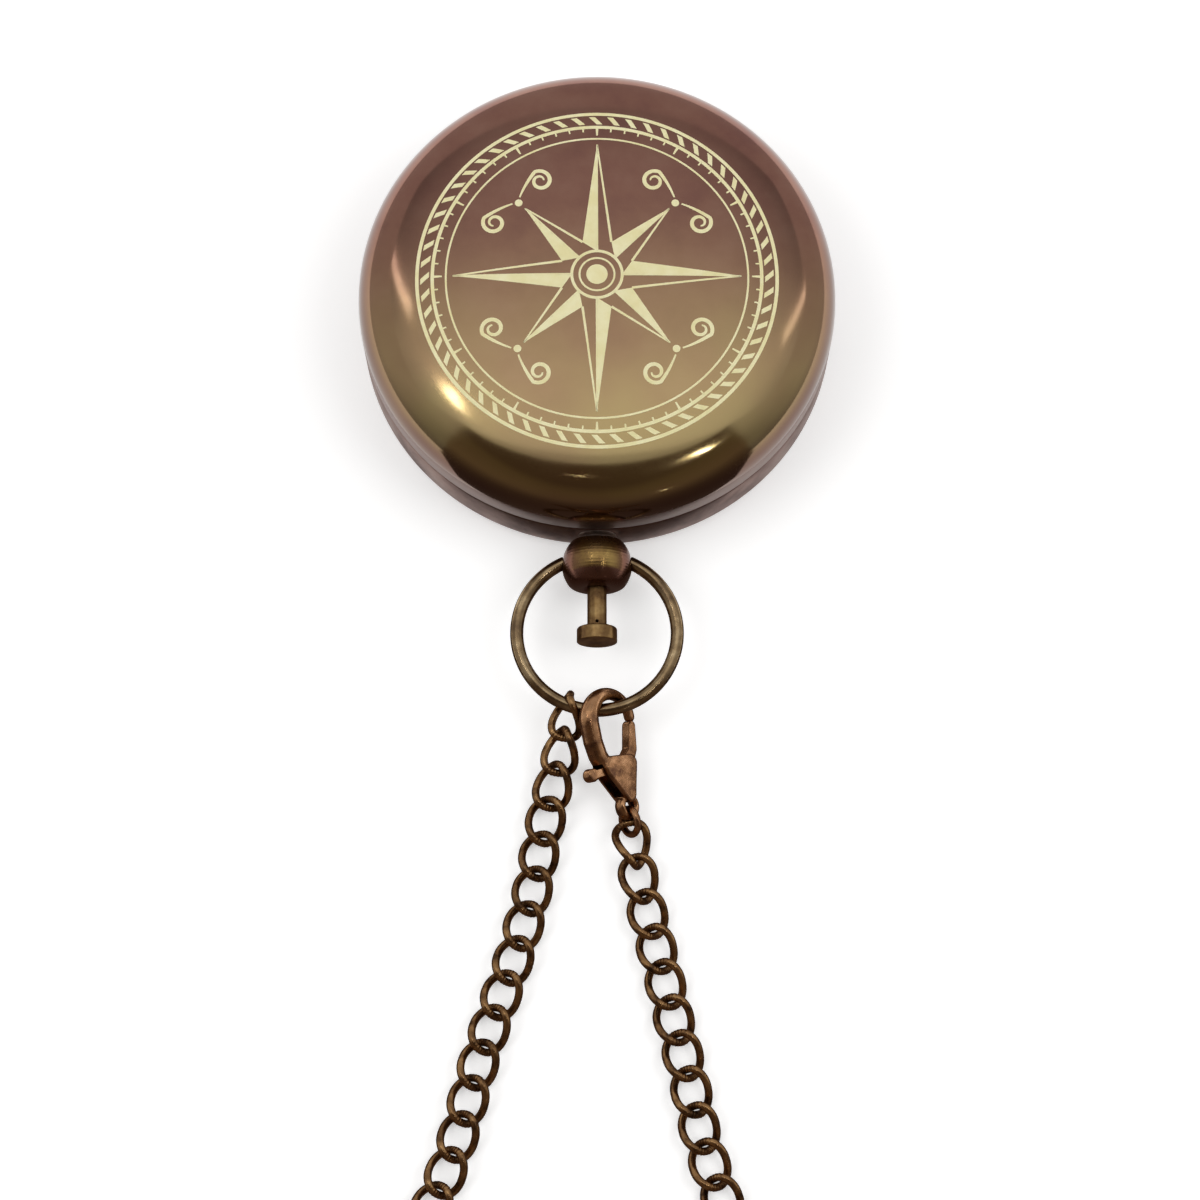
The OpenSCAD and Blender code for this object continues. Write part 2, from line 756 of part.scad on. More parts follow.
module clasp_lever() {
    color(clasp_tone) on_clasp() difference() {
        slab(lever_t) union() {
            hull() {
                spot(lever_tip, lever_tip_r);
                spot(lever_knee, lever_knee_r);
            }
            hull() {
                spot(lever_knee, lever_knee_r);
                spot(lever_pivot, lever_hub_r);
            }
            hull() {
                spot(lever_pivot, lever_arm_r);
                spot(lever_thumb, lever_arm_r);
            }
            spot(lever_thumb, lever_thumb_r);
        }
        translate([lever_pivot[0], lever_pivot[1], -lever_t])
            cylinder(r = rivet_r + slide_fit, h = 2 * lever_t);
    }
}

module clasp_rivet() {
    color(clasp_tone) on_clasp() translate([lever_pivot[0], lever_pivot[1], -clasp_t / 2])
        cylinder(r = rivet_r, h = clasp_t);
}

module clasp_spring() {
    color(steel_tone) on_clasp() rod([clasp_spring_foot[0], clasp_spring_foot[1], 0],
        [clasp_spring_head[0], clasp_spring_head[1], 0], clasp_spring_r);
}

module clasp_ring() {
    color(clasp_tone) on_clasp() translate([0, ring_y, 0]) rotate([0, 90 + ring_turn, 0])
        rotate_extrude() translate([ring_r, 0]) circle(r = ring_wire_r);
}

module chain_left() {
    color(chain_tone) for (i = [0:link_count - 1])
        if (in_front(i) && on_left(i)) place_link(i) curb_link();
}

module chain_right() {
    color(chain_tone) for (i = [0:link_count - 1])
        if (in_front(i) && !on_left(i)) place_link(i) curb_link();
}

module chain_fold() {
    color(chain_tone) for (i = [0:link_count - 1])
        if (!in_front(i)) place_link(i) curb_link();
}

case_cup();
pendant_neck();
pendant_ball();
case_knuckles();
hinge_pin();
catch_spring();
catch_spring_screw();
lift_spring();
lift_spring_screw();
capsule_cup();
dial_plate();
pivot_post();
crystal();
bezel_ring();
lid_shell();
lid_knuckle();
lid_catch();
push_stem();
stem_circlip();
push_button();
needle();
needle_cap();
bow();
clasp_body();
clasp_rivet();
clasp_spring();
clasp_lever();
clasp_ring();
chain_left();
chain_right();
chain_fold();
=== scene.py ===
"""A closed pocket compass on its curb chain: the dressed pieces, their finishes and the studio."""
import logging
import math
import random
from collections.abc import Callable
from dataclasses import dataclass, field
from enum import Enum

import bmesh
import bpy
from mathutils import Matrix, Quaternion, Vector


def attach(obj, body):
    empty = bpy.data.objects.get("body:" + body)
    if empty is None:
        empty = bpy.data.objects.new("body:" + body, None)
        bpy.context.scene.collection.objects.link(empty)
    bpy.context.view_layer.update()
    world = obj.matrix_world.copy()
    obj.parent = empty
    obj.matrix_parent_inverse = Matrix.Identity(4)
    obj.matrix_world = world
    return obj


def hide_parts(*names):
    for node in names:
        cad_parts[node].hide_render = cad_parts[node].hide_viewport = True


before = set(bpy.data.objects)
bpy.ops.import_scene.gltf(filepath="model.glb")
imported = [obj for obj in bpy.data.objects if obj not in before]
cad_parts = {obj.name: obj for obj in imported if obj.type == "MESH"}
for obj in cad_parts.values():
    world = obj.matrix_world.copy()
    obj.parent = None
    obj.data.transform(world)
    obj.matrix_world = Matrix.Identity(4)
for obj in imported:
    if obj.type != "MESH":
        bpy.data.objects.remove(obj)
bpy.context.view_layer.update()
LOG = logging.getLogger("pocket_compass")
MM = 0.001
Point = tuple[float, float, float]
Colour = tuple[float, float, float, float]
Outline = list[tuple[float, float]]


def linear(colour: str) -> Colour:
    """Turns an sRGB hex colour to the linear values that a shader socket takes.

    Args:
        colour: Six hex digits after a hash.

    Returns:
        Linear red, green and blue, and an alpha of one.
    """
    shares = [int(colour[i : i + 2], 16) / 255 for i in (1, 3, 5)]
    low = [s / 12.92 if s <= 0.04045 else ((s + 0.055) / 1.055) ** 2.4 for s in shares]
    return (low[0], low[1], low[2], 1.0)


def per_mm(size: float) -> float:
    """Gives a texture scale for features of this size in millimetres."""
    return 1 / (size * MM)


def add_node(tree: bpy.types.NodeTree, kind: str, sockets: dict[str | int, object],
             **settings: object) -> bpy.types.Node:
    """Adds one node with its settings and links.

    Args:
        tree: The node tree that takes it.
        kind: Blender's name for the node.
        sockets: For each input, by name or number, a value or the output that feeds it.
        **settings: The node's own settings by name.

    Returns:
        The new node.
    """
    node = tree.nodes.new(kind)
    for name, value in settings.items():
        setattr(node, name, value)
    for name, value in sockets.items():
        if isinstance(value, bpy.types.NodeSocket):
            tree.links.new(value, node.inputs[name])
        else:
            node.inputs[name].default_value = value
    return node


def set_stops(ramp: bpy.types.Node, stops: list[tuple[float, Colour]]) -> None:
    """Gives a colour ramp its stops.

    Args:
        ramp: The ramp node.
        stops: Place and linear colour of each stop, from low to high.
    """
    elements = ramp.color_ramp.elements
    while len(elements) < len(stops):
        elements.new(0.5)
    for element, (place, colour) in zip(elements, stops):
        element.position = place
        element.color = colour


class Marks(Enum):
    """The marks that the making left on a metal's surface."""

    NONE = "none"
    LATHE_Y = "turned about an axis along Y"
    LATHE_Z = "turned about an axis along Z"
    CAST = "cast"


@dataclass(frozen=True)
class AgedMetal:
    """Brass, bronze or copper with a brown patina, rubbed bright where it is handled."""

    name: str
    rubbed: str
    patina: str
    deep: str
    rough_low: float = 0.2
    rough_high: float = 0.4
    blotch: float = 4.0
    # Grain and tool marks are drawn a few times coarser than the real ones, so that they show
    grain: float = 0.25
    grain_depth: float = 0.004
    marks: Marks = Marks.NONE
    mark_width: float = 0.12
    mark_depth: float = 0.004
    # Reach in millimetres of the painted shade laid in corners and where parts meet; none at zero
    crevice: float = 0.0
    lacquer: float = 0.0

    def material(self) -> bpy.types.Material:
        """Builds the procedural material.

        Returns:
            The material, with patina blotches, grain, tool marks and painted shade in its crevices.
        """
        made = bpy.data.materials.new(self.name)
        made.use_nodes = True
        tree = made.node_tree
        tree.nodes.clear()
        place = add_node(tree, "ShaderNodeTexCoord", {}).outputs["Object"]
        blotches = add_node(tree, "ShaderNodeTexNoise", {
            "Vector": place, "Scale": per_mm(self.blotch), "Detail": 6.0, "Roughness": 0.62,
        })
        tone = add_node(tree, "ShaderNodeValToRGB", {"Fac": blotches.outputs["Fac"]})
        set_stops(tone, [
            (0.32, linear(self.deep)), (0.5, linear(self.patina)), (0.7, linear(self.rubbed)),
        ])
        colour = tone.outputs["Color"]
        grains = add_node(tree, "ShaderNodeTexNoise", {
            "Vector": place, "Scale": per_mm(self.grain), "Detail": 4.0, "Roughness": 0.6,
        })
        if self.crevice > 0:
            # Painted shade: the colour turns to the deep colour where ambient occlusion finds corners and
            # places where parts meet, standing partly for patina in the hollows
            near = add_node(tree, "ShaderNodeAmbientOcclusion", {"Distance": self.crevice * MM}, samples=6)
            shade_and_patina = add_node(tree, "ShaderNodeMapRange", {
                "Value": near.outputs["AO"], "From Min": 0.25, "From Max": 0.85, "To Min": 1.0, "To Max": 0.0,
            })
            colour = add_node(tree, "ShaderNodeMix", {
                "Factor": shade_and_patina.outputs["Result"], "A": colour, "B": linear(self.deep),
            }, data_type="RGBA").outputs[2]
        height = grains.outputs["Fac"]
        normal = add_node(tree, "ShaderNodeBump", {
            "Height": height, "Strength": 1.0, "Distance": self.grain_depth * MM,
        }).outputs["Normal"]
        if self.marks in (Marks.LATHE_Y, Marks.LATHE_Z):
            parts = add_node(tree, "ShaderNodeSeparateXYZ", {"Vector": place})
            along = parts.outputs["Y" if self.marks is Marks.LATHE_Y else "Z"]
            lines = add_node(tree, "ShaderNodeTexNoise", {
                "W": along, "Scale": per_mm(self.mark_width), "Detail": 3.0, "Roughness": 0.7,
            }, noise_dimensions="1D")
            normal = add_node(tree, "ShaderNodeBump", {
                "Height": lines.outputs["Fac"], "Strength": 1.0,
                "Distance": self.mark_depth * MM, "Normal": normal,
            }).outputs["Normal"]
        if self.marks is Marks.CAST:
            pits = add_node(tree, "ShaderNodeTexVoronoi", {
                "Vector": place, "Scale": per_mm(self.mark_width), "Randomness": 1.0,
            }, feature="SMOOTH_F1")
            normal = add_node(tree, "ShaderNodeBump", {
                "Height": pits.outputs["Distance"], "Strength": 0.8,
                "Distance": self.mark_depth * MM, "Normal": normal,
            }).outputs["Normal"]
        rough = add_node(tree, "ShaderNodeMapRange", {
            "Value": blotches.outputs["Fac"], "From Min": 0.3, "From Max": 0.7,
            "To Min": self.rough_high, "To Max": self.rough_low,
        })
        shader = add_node(tree, "ShaderNodeBsdfPrincipled", {
            "Base Color": colour, "Metallic": 1.0, "Roughness": rough.outputs["Result"],
            "Normal": normal, "Coat Weight": self.lacquer, "Coat Roughness": 0.06,
        })
        if self.marks in (Marks.LATHE_Y, Marks.LATHE_Z):
            # Fine rings spread a highlight across themselves
            around = add_node(tree, "ShaderNodeTangent", {}, direction_type="RADIAL",
                              axis="Y" if self.marks is Marks.LATHE_Y else "Z")
            tree.links.new(around.outputs["Tangent"], shader.inputs["Tangent"])
            shader.inputs["Anisotropic"].default_value = 0.7
            shader.inputs["Anisotropic Rotation"].default_value = 0.25
        add_node(tree, "ShaderNodeOutputMaterial", {"Surface": shader.outputs["BSDF"]})
        return made


# Spun brass under a brown lacquer: mauve to olive zones, mirror-like, with a mottled patina
LID_BRONZE = AgedMetal("lacquered_bronze_lid", "#9E7464", "#966A5B", "#8C6055",
                       rough_low=0.09, rough_high=0.14, blotch=6.0, grain=1.1, grain_depth=0.0012,
                       lacquer=0.35)
# The rolled side of the case, brushed and darker, so it shows a soft mauve-brown
SIDE_BRONZE = AgedMetal("browned_brass_side", "#8F766C", "#7D645C", "#66504A",
                        rough_low=0.3, rough_high=0.42, blotch=5.0, grain=0.5,
                        marks=Marks.LATHE_Z, mark_width=0.18, mark_depth=0.002, crevice=0.5)
# Turned yellow brass with fine rings from the lathe and a thin brown patina
BALL_BRASS = AgedMetal("turned_brass_ball", "#BFA062", "#A28350", "#7E5E44",
                       rough_low=0.2, rough_high=0.3, blotch=3.0, grain=0.3, grain_depth=0.001,
                       marks=Marks.LATHE_Y, mark_width=0.16, mark_depth=0.0035, crevice=0.6)
# The same turned brass, browner and duller where fingers seldom reach
STEM_BRASS = AgedMetal("turned_brass_stem", "#BC9C68", "#9C7B50", "#6A4E36",
                       rough_low=0.28, rough_high=0.4, blotch=1.8, grain=0.2, grain_depth=0.003,
                       marks=Marks.LATHE_Y, mark_width=0.14, mark_depth=0.002, crevice=0.7)
# Soldered brass left unpolished, which gives a pale, dull grey-rose collar
NECK_BRASS = AgedMetal("soldered_brass_neck", "#E2D6CB", "#C7B9AD", "#978880",
                       rough_low=0.35, rough_high=0.5, blotch=1.5, grain=0.2, crevice=0.25)
# Drawn wire, smooth along its length, brown with pale worn highlights
BOW_BRASS = AgedMetal("drawn_brass_bow", "#BFA884", "#98805F", "#64503E",
                      rough_low=0.15, rough_high=0.22, blotch=2.6, grain=0.3, grain_depth=0.002,
                      crevice=0.5)
# Sand-cast and tumbled, then copper plated: soft grain, coppery on the worn faces
CLASP_COPPER = AgedMetal("cast_copper_clasp", "#D6A67C", "#B78861", "#704E3C",
                         rough_low=0.17, rough_high=0.3, blotch=1.6, grain=0.16, grain_depth=0.003,
                         marks=Marks.CAST, mark_width=0.5, mark_depth=0.003, crevice=0.8)
# Bent brass wire, antiqued and tumbled: random brown and golden patches, with painted shade where the links
# meet
CHAIN_BRASS = AgedMetal("aged_chain_wire", "#C89E6B", "#9B754E", "#4E3828",
                        rough_low=0.2, rough_high=0.33, blotch=1.3, grain=0.15, grain_depth=0.004,
                        crevice=0.7)
# Turned brass kept from handling under the lid, so it is still yellow and bright
BEZEL_BRASS = AgedMetal("polished_brass_bezel", "#CDAA62", "#BF9C58", "#A07E48",
                        rough_low=0.14, rough_high=0.24, blotch=6.0, grain=0.3, grain_depth=0.001,
                        marks=Marks.LATHE_Z, mark_width=0.15, mark_depth=0.001)
# Tempered strip steel, ground and oiled, with a plain cool grey sheen
SPRING_STEEL = AgedMetal("tempered_spring_steel", "#A7A9AC", "#8C8F94", "#5E6168",
                         rough_low=0.25, rough_high=0.38, blotch=3.0, grain=0.12, grain_depth=0.002)
# Steel blued by heat, a deep blue gloss
NEEDLE_BLUE = AgedMetal("blued_steel_needle", "#4B5F8C", "#2F4270", "#1C2947",
                        rough_low=0.18, rough_high=0.28, blotch=2.0, grain=0.1, grain_depth=0.001)


@dataclass(frozen=True)
class FlatFinish:
    """Card, enamel, ink or etched metal: one colour with a faint mottle and grain."""

    name: str
    light: str
    dark: str
    roughness: float = 0.6
    blotch: float = 2.0
    grain: float = 0.1
    grain_depth: float = 0.004
    metallic: float = 0.0

    def material(self) -> bpy.types.Material:
        """Builds the procedural material.

        Returns:
            The material, a mottle between its two colours over a fine grain.
        """
        made = bpy.data.materials.new(self.name)
        made.use_nodes = True
        tree = made.node_tree
        tree.nodes.clear()
        place = add_node(tree, "ShaderNodeTexCoord", {}).outputs["Object"]
        mottle = add_node(tree, "ShaderNodeTexNoise", {
            "Vector": place, "Scale": per_mm(self.blotch), "Detail": 5.0, "Roughness": 0.6,
        })
        tone = add_node(tree, "ShaderNodeValToRGB", {"Fac": mottle.outputs["Fac"]})
        set_stops(tone, [(0.35, linear(self.dark)), (0.65, linear(self.light))])
        grains = add_node(tree, "ShaderNodeTexNoise", {
            "Vector": place, "Scale": per_mm(self.grain), "Detail": 3.0,
        })
        bump = add_node(tree, "ShaderNodeBump", {
            "Height": grains.outputs["Fac"], "Strength": 1.0, "Distance": self.grain_depth * MM,
        })
        shader = add_node(tree, "ShaderNodeBsdfPrincipled", {
            "Base Color": tone.outputs["Color"], "Metallic": self.metallic,
            "Roughness": self.roughness, "Normal": bump.outputs["Normal"],
        })
        add_node(tree, "ShaderNodeOutputMaterial", {"Surface": shader.outputs["BSDF"]})
        return made


# Laser etching leaves a dull, pale frosted line that hardly reflects
ETCHED_CREAM = FlatFinish("laser_etched_cream", "#F8F2C4", "#EFE6AE", roughness=0.7)
# Uncoated card, matt and slightly uneven
CARD_CREAM = FlatFinish("printed_card", "#EFE7D0", "#E2D7BA", roughness=0.75, blotch=6.0, grain=0.15)
# Printing ink that has sunk into the card
PRINT_BLACK = FlatFinish("printing_ink", "#26221E", "#191613", roughness=0.55)
# Red enamel, brushed on, smooth and a little glossy
PRINT_RED = FlatFinish("red_enamel", "#A3281F", "#8C1F18", roughness=0.35)


class Mesher:
    """Collects points in millimetres and faces, and turns them into one object."""

    def __init__(self) -> None:
        """Starts with nothing."""
        self.points: list[Vector] = []
        self.faces: list[tuple[int, ...]] = []

    def grid(self, rows: list[list[Vector]], wrap_rows: bool, wrap_cols: bool) -> None:
        """Adds a skin over rows of points; a row of one point is a pole.

        Args:
            rows: The rows, each with the same number of points or just one.
            wrap_rows: Whether the last row joins the first.
            wrap_cols: Whether each row closes on itself.
        """
        starts = []
        for row in rows:
            starts.append(len(self.points))
            self.points.extend(row)
        count = len(rows)
        for i in range(count if wrap_rows else count - 1):
            a, b = i, (i + 1) % count
            wide = max(len(rows[a]), len(rows[b]))
            for k in range(wide if wrap_cols else wide - 1):
                m = (k + 1) % wide
                ring = []
                for row, at in ((a, k), (a, m), (b, m), (b, k)):
                    index = starts[row] + (at if len(rows[row]) > 1 else 0)
                    if index not in ring:
                        ring.append(index)
                if len(ring) > 2:
                    self.faces.append(tuple(ring))

    def cap(self, row: list[Vector]) -> None:
        """Closes a ring of points with one face.

        Args:
            row: The ring.
        """
        start = len(self.points)
        self.points.extend(row)
        self.faces.append(tuple(range(start, start + len(row))))

    def revolve(self, profile: Outline, turn: Callable[[float, float, float], Vector],
                steps: int = 192, closed: bool = True) -> None:
        """Turns a profile about an axis.

        Args:
            profile: Radius and distance along the axis of each point.
            turn: Gives the point for a radius, a distance and an angle.
            steps: How many steps one turn takes.
            closed: Whether the last point of the profile joins the first.
        """
        rows = []
        for radius, along in profile:
            if radius < 1e-6:
                rows.append([turn(0.0, along, 0.0)])
            else:
                rows.append([turn(radius, along, 2 * math.pi * k / steps) for k in range(steps)])
        self.grid(rows, closed, True)

    def tube(self, line: list[Vector], radii: list[float], sides: int, closed: bool,
             flat: float = 1.0, up: Vector | None = None) -> None:
        """Sweeps a round or flattened section along a line.

        Args:
            line: The middle line.
            radii: Its radius at each point.
            sides: How many sides the section has.
            closed: Whether the line closes on itself.
            flat: Height of the section as a share of its width.
            up: The way that the section's height points; level with Z without one.
        """
        count = len(line)
        rows = []
        last = up or Vector((0, 0, 1))
        for i, point in enumerate(line):
            ahead = line[(i + 1) % count] if closed or i < count - 1 else point
            behind = line[i - 1] if closed or i > 0 else point
            along = (ahead - behind).normalized()
            side = along.cross(up or last)
            if side.length < 1e-6:
                side = along.orthogonal()
            side.normalize()
            tall = side.cross(along).normalized()
            last = tall
            rows.append([
                point + radii[i] * (math.cos(a) * side + flat * math.sin(a) * tall)
                for a in (2 * math.pi * k / sides for k in range(sides))
            ])
        if closed and not up:
            self._untwist(rows)
        self.grid(rows, closed, True)
        if not closed:
            self.cap(rows[0])
            self.cap(rows[-1])

    @staticmethod
    def _untwist(rows: list[list[Vector]]) -> None:
        """Shifts the rings of a closed tube so that the last meets the first without a twist.

        Args:
            rows: The rings, which are changed in place.
        """
        sides = len(rows[0])
        best = min(range(sides), key=lambda s: (rows[-1][s] - rows[0][0]).length)
        for i, row in enumerate(rows):
            share = round(best * i / (len(rows) - 1))
            rows[i] = row[share:] + row[:share]

    def object(self, name: str, smooth_angle: float = 35.0, place: Matrix | None = None) -> bpy.types.Object:
        """Makes the object in metres, with merged points, outward faces and crisp edges.

        Args:
            name: Its name.
            smooth_angle: Edges sharper than this many degrees stay crisp.
            place: Moves the points from a piece's own frame to the row frame, in millimetres.

        Returns:
            The object, linked to the scene.
        """
        matrix = place or Matrix.Identity(4)
        mesh = bpy.data.meshes.new(name)
        mesh.from_pydata([tuple(matrix @ p * MM) for p in self.points], [], self.faces)
        build = bmesh.new()
        build.from_mesh(mesh)
        bmesh.ops.remove_doubles(build, verts=build.verts, dist=1e-7)
        bmesh.ops.recalc_face_normals(build, faces=build.faces)
        build.to_mesh(mesh)
        build.free()
        return dressed_mesh(name, mesh, smooth_angle)


def dressed_mesh(name: str, mesh: bpy.types.Mesh, smooth_angle: float) -> bpy.types.Object:
    """Links a mesh as an object that is smooth but for its sharp edges.

    Args:
        name: The object's name.
        mesh: Its mesh.
        smooth_angle: Edges sharper than this many degrees stay crisp.

    Returns:
        The object.
    """
    mesh.polygons.foreach_set("use_smooth", [True] * len(mesh.polygons))
    mesh.set_sharp_from_angle(angle=math.radians(smooth_angle))
    made = bpy.data.objects.new(name, mesh)
    bpy.context.scene.collection.objects.link(made)
    return made


def apply_modifiers(piece: bpy.types.Object, smooth_angle: float = 35.0) -> None:
    """Turns a piece's modifiers into its own mesh.

    Args:
        piece: The piece.
        smooth_angle: Edges sharper than this many degrees stay crisp.
    """
    graph = bpy.context.evaluated_depsgraph_get()
    mesh = bpy.data.meshes.new_from_object(piece.evaluated_get(graph))
    piece.modifiers.clear()
    piece.data = mesh
    mesh.polygons.foreach_set("use_smooth", [True] * len(mesh.polygons))
    mesh.set_sharp_from_angle(angle=math.radians(smooth_angle))


def cut_away(piece: bpy.types.Object, cutters: list[bpy.types.Object]) -> None:
    """Cuts solids out of a piece and removes them from the scene.

    Args:
        piece: The piece.
        cutters: The solids that are cut out of it.
    """
    for cutter in cutters:
        cut = piece.modifiers.new("cut", "BOOLEAN")
        cut.operation = "DIFFERENCE"
        cut.solver = "EXACT"
        cut.object = cutter
    apply_modifiers(piece)
    for cutter in cutters:
        bpy.data.objects.remove(cutter)


def block(name: str, low: Point, high: Point) -> bpy.types.Object:
    """Makes a box between two corners, as a cutter.

    Args:
        name: Its name.
        low: Its lowest corner in millimetres.
        high: Its highest corner in millimetres.

    Returns:
        The box.
    """
    made = Mesher()
    rows = [[Vector((x, y, z)) for x, y in (
        (low[0], low[1]), (high[0], low[1]), (high[0], high[1]), (low[0], high[1]),
    )] for z in (low[2], high[2])]
    made.grid(rows, False, True)
    made.cap(rows[0])
    made.cap(rows[1])
    return made.object(name)


def rod(name: str, start: Vector, end: Vector, radius: float, sides: int = 48) -> bpy.types.Object:
    """Makes a round bar between two points, as a cutter.

    Args:
        name: Its name.
        start: The middle of one end in millimetres.
        end: The middle of the other end.
        radius: Its radius.
        sides: How many sides it has.

    Returns:
        The bar.
    """
    made = Mesher()
    made.tube([start, end], [radius, radius], sides, False)
    return made.object(name)


def eased(corners: list[tuple[float, float, float]], steps: int = 5) -> Outline:
    """Rounds the corners of a closed outline.

    Args:
        corners: Two coordinates and the length of edge that the rounding takes, for each corner.
        steps: How many points each rounding gets.

    Returns:
        The rounded outline.
    """
    out = []
    count = len(corners)
    for i, (x, y, ease) in enumerate(corners):
        if ease <= 0:
            out.append((x, y))
            continue
        here = Vector((x, y))
        ends = []
        for j in (i - 1, (i + 1) % count):
            other = Vector(corners[j][:2])
            reach = min(ease, 0.48 * (other - here).length)
            ends.append(here + (other - here).normalized() * reach)
        for k in range(steps + 1):
            t = k / steps
            p = (1 - t) ** 2 * ends[0] + 2 * t * (1 - t) * here + t * t * ends[1]
            out.append((p.x, p.y))
    return out


def arc(centre: tuple[float, float], radius: float, start: float, end: float, steps: int) -> Outline:
    """Gives points on an arc, with its angles in degrees."""
    angles = [math.radians(start + (end - start) * i / steps) for i in range(steps + 1)]
    return [(centre[0] + radius * math.cos(a), centre[1] + radius * math.sin(a)) for a in angles]


def about_z(radius: float, height: float, angle: float) -> Vector:
    """Gives the point on a turned shape about the case axis."""
    return Vector((radius * math.cos(angle), radius * math.sin(angle), height))


PENDANT_Z = 4.7


def about_pendant(radius: float, out: float, angle: float) -> Vector:
    """Gives the point on a turned shape about the pendant axis, which points to -Y."""
    return Vector((radius * math.cos(angle), -out, PENDANT_Z + radius * math.sin(angle)))


def finish_piece(piece: bpy.types.Object, material: bpy.types.Material, body: str, slot: str,
                 *nodes: str) -> bpy.types.Object:
    """Dresses a piece and ties it to the frame.

    Args:
        piece: The piece.
        material: Its finish.
        body: The body that it rides on.
        slot: Not used.
        *nodes: The CAD nodes that it stands for.

    Returns:
        The piece.
    """
    piece.data.materials.clear()
    piece.data.materials.append(material)
    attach(piece, body)
    if nodes:
        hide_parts(*nodes)
    LOG.info("%s rides on %s", piece.name, body)
    return piece


def dress_node(name: str, material: bpy.types.Material) -> None:
    """Gives a CAD node a better finish.

    Args:
        name: The node.
        material: Its finish.
    """
    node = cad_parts[name]
    node.data.materials.clear()
    node.data.materials.append(material)
    LOG.info("%s keeps its CAD shape", name)


@dataclass
class Inlay:
    """Flat figures laid on a surface as thin closed solids."""

    height: Callable[[float, float], float]
    proud: float = 0.02
    sunk: float = 0.05
    made: Mesher = field(default_factory=Mesher)

    def _lift(self, p: Vector, rise: float) -> Vector:
        """Puts a flat point on the surface."""
        return Vector((p.x, p.y, self.height(p.x, p.y) + rise))

    def ribbon(self, left: list[Vector], right: list[Vector], closed: bool = False) -> None:
        """Lays the strip between two sides that have the same number of points.

        Args:
            left: One side, flat.
            right: The other side, flat.
            closed: Whether the strip closes on itself.
        """
        rows = []
        for p, q in zip(left, right):
            across = [p.lerp(q, k / 4) for k in range(5)]
            rows.append([self._lift(v, self.proud) for v in across]
                        + [self._lift(v, -self.sunk) for v in reversed(across)])
        self.made.grid(rows, closed, True)
        if not closed:
            self.made.cap(rows[0])
            self.made.cap(rows[-1])

    def blade(self, first: Vector, second: Vector, tip: Vector, steps: int = 16) -> None:
        """Lays a filled blade from two points of its foot to its tip."""
        shares = [0.995 * k / steps for k in range(steps + 1)]
        self.ribbon([first.lerp(tip, s) for s in shares], [second.lerp(tip, s) for s in shares])

    def stroke(self, line: list[Vector], widths: list[float], closed: bool = False) -> None:
        """Lays a line of varying width.

        Args:
            line: Its middle line, flat.
            widths: Its full width at each point.
            closed: Whether it closes on itself.
        """
        left, right = [], []
        count = len(line)
        for i, p in enumerate(line):
            ahead = line[(i + 1) % count] if closed or i < count - 1 else p
            behind = line[i - 1] if closed or i > 0 else p
            d = (ahead - behind).normalized()
            side = Vector((-d.y, d.x, 0)) * widths[i] / 2
            left.append(p + side)
            right.append(p - side)
        self.ribbon(left, right, closed)

    def straight(self, start: Vector, end: Vector, first: float, last: float) -> None:
        """Lays a straight line.

        Args:
            start: Where it starts, flat.
            end: Where it ends.
            first: Its width at the start.
            last: Its width at the end.
        """
        steps = max(2, round((end - start).length / 0.8))
        shares = [k / steps for k in range(steps + 1)]
        self.stroke([start.lerp(end, s) for s in shares], [first + (last - first) * s for s in shares])

    def circle(self, radius: float, width: float, centre: Vector | None = None, steps: int = 180) -> None:
        """Lays a circle.

        Args:
            radius: Its radius.
            width: The width of its line.
            centre: Its centre; the middle of the surface without one.
            steps: How many points it gets.
        """
        middle = centre or Vector((0, 0, 0))
        line = [middle + polar(radius, 360 * i / steps) for i in range(steps)]
        self.stroke(line, [width] * steps, True)

    def dot(self, centre: Vector, radius: float, steps: int = 20) -> None:
        """Lays a round dot.

        Args:
            centre: Its centre.
            radius: Its radius.
            steps: How many points each half of its edge gets.
        """
        upper = [centre + polar(radius, 180 * i / steps) for i in range(steps + 1)]
        lower = [centre + polar(radius, -180 * i / steps) for i in range(steps + 1)]
        self.ribbon(upper, lower)


def polar(radius: float, degrees: float) -> Vector:
    """Gives a flat point at a radius and an angle."""
    a = math.radians(degrees)
    return Vector((radius * math.cos(a), radius * math.sin(a), 0))


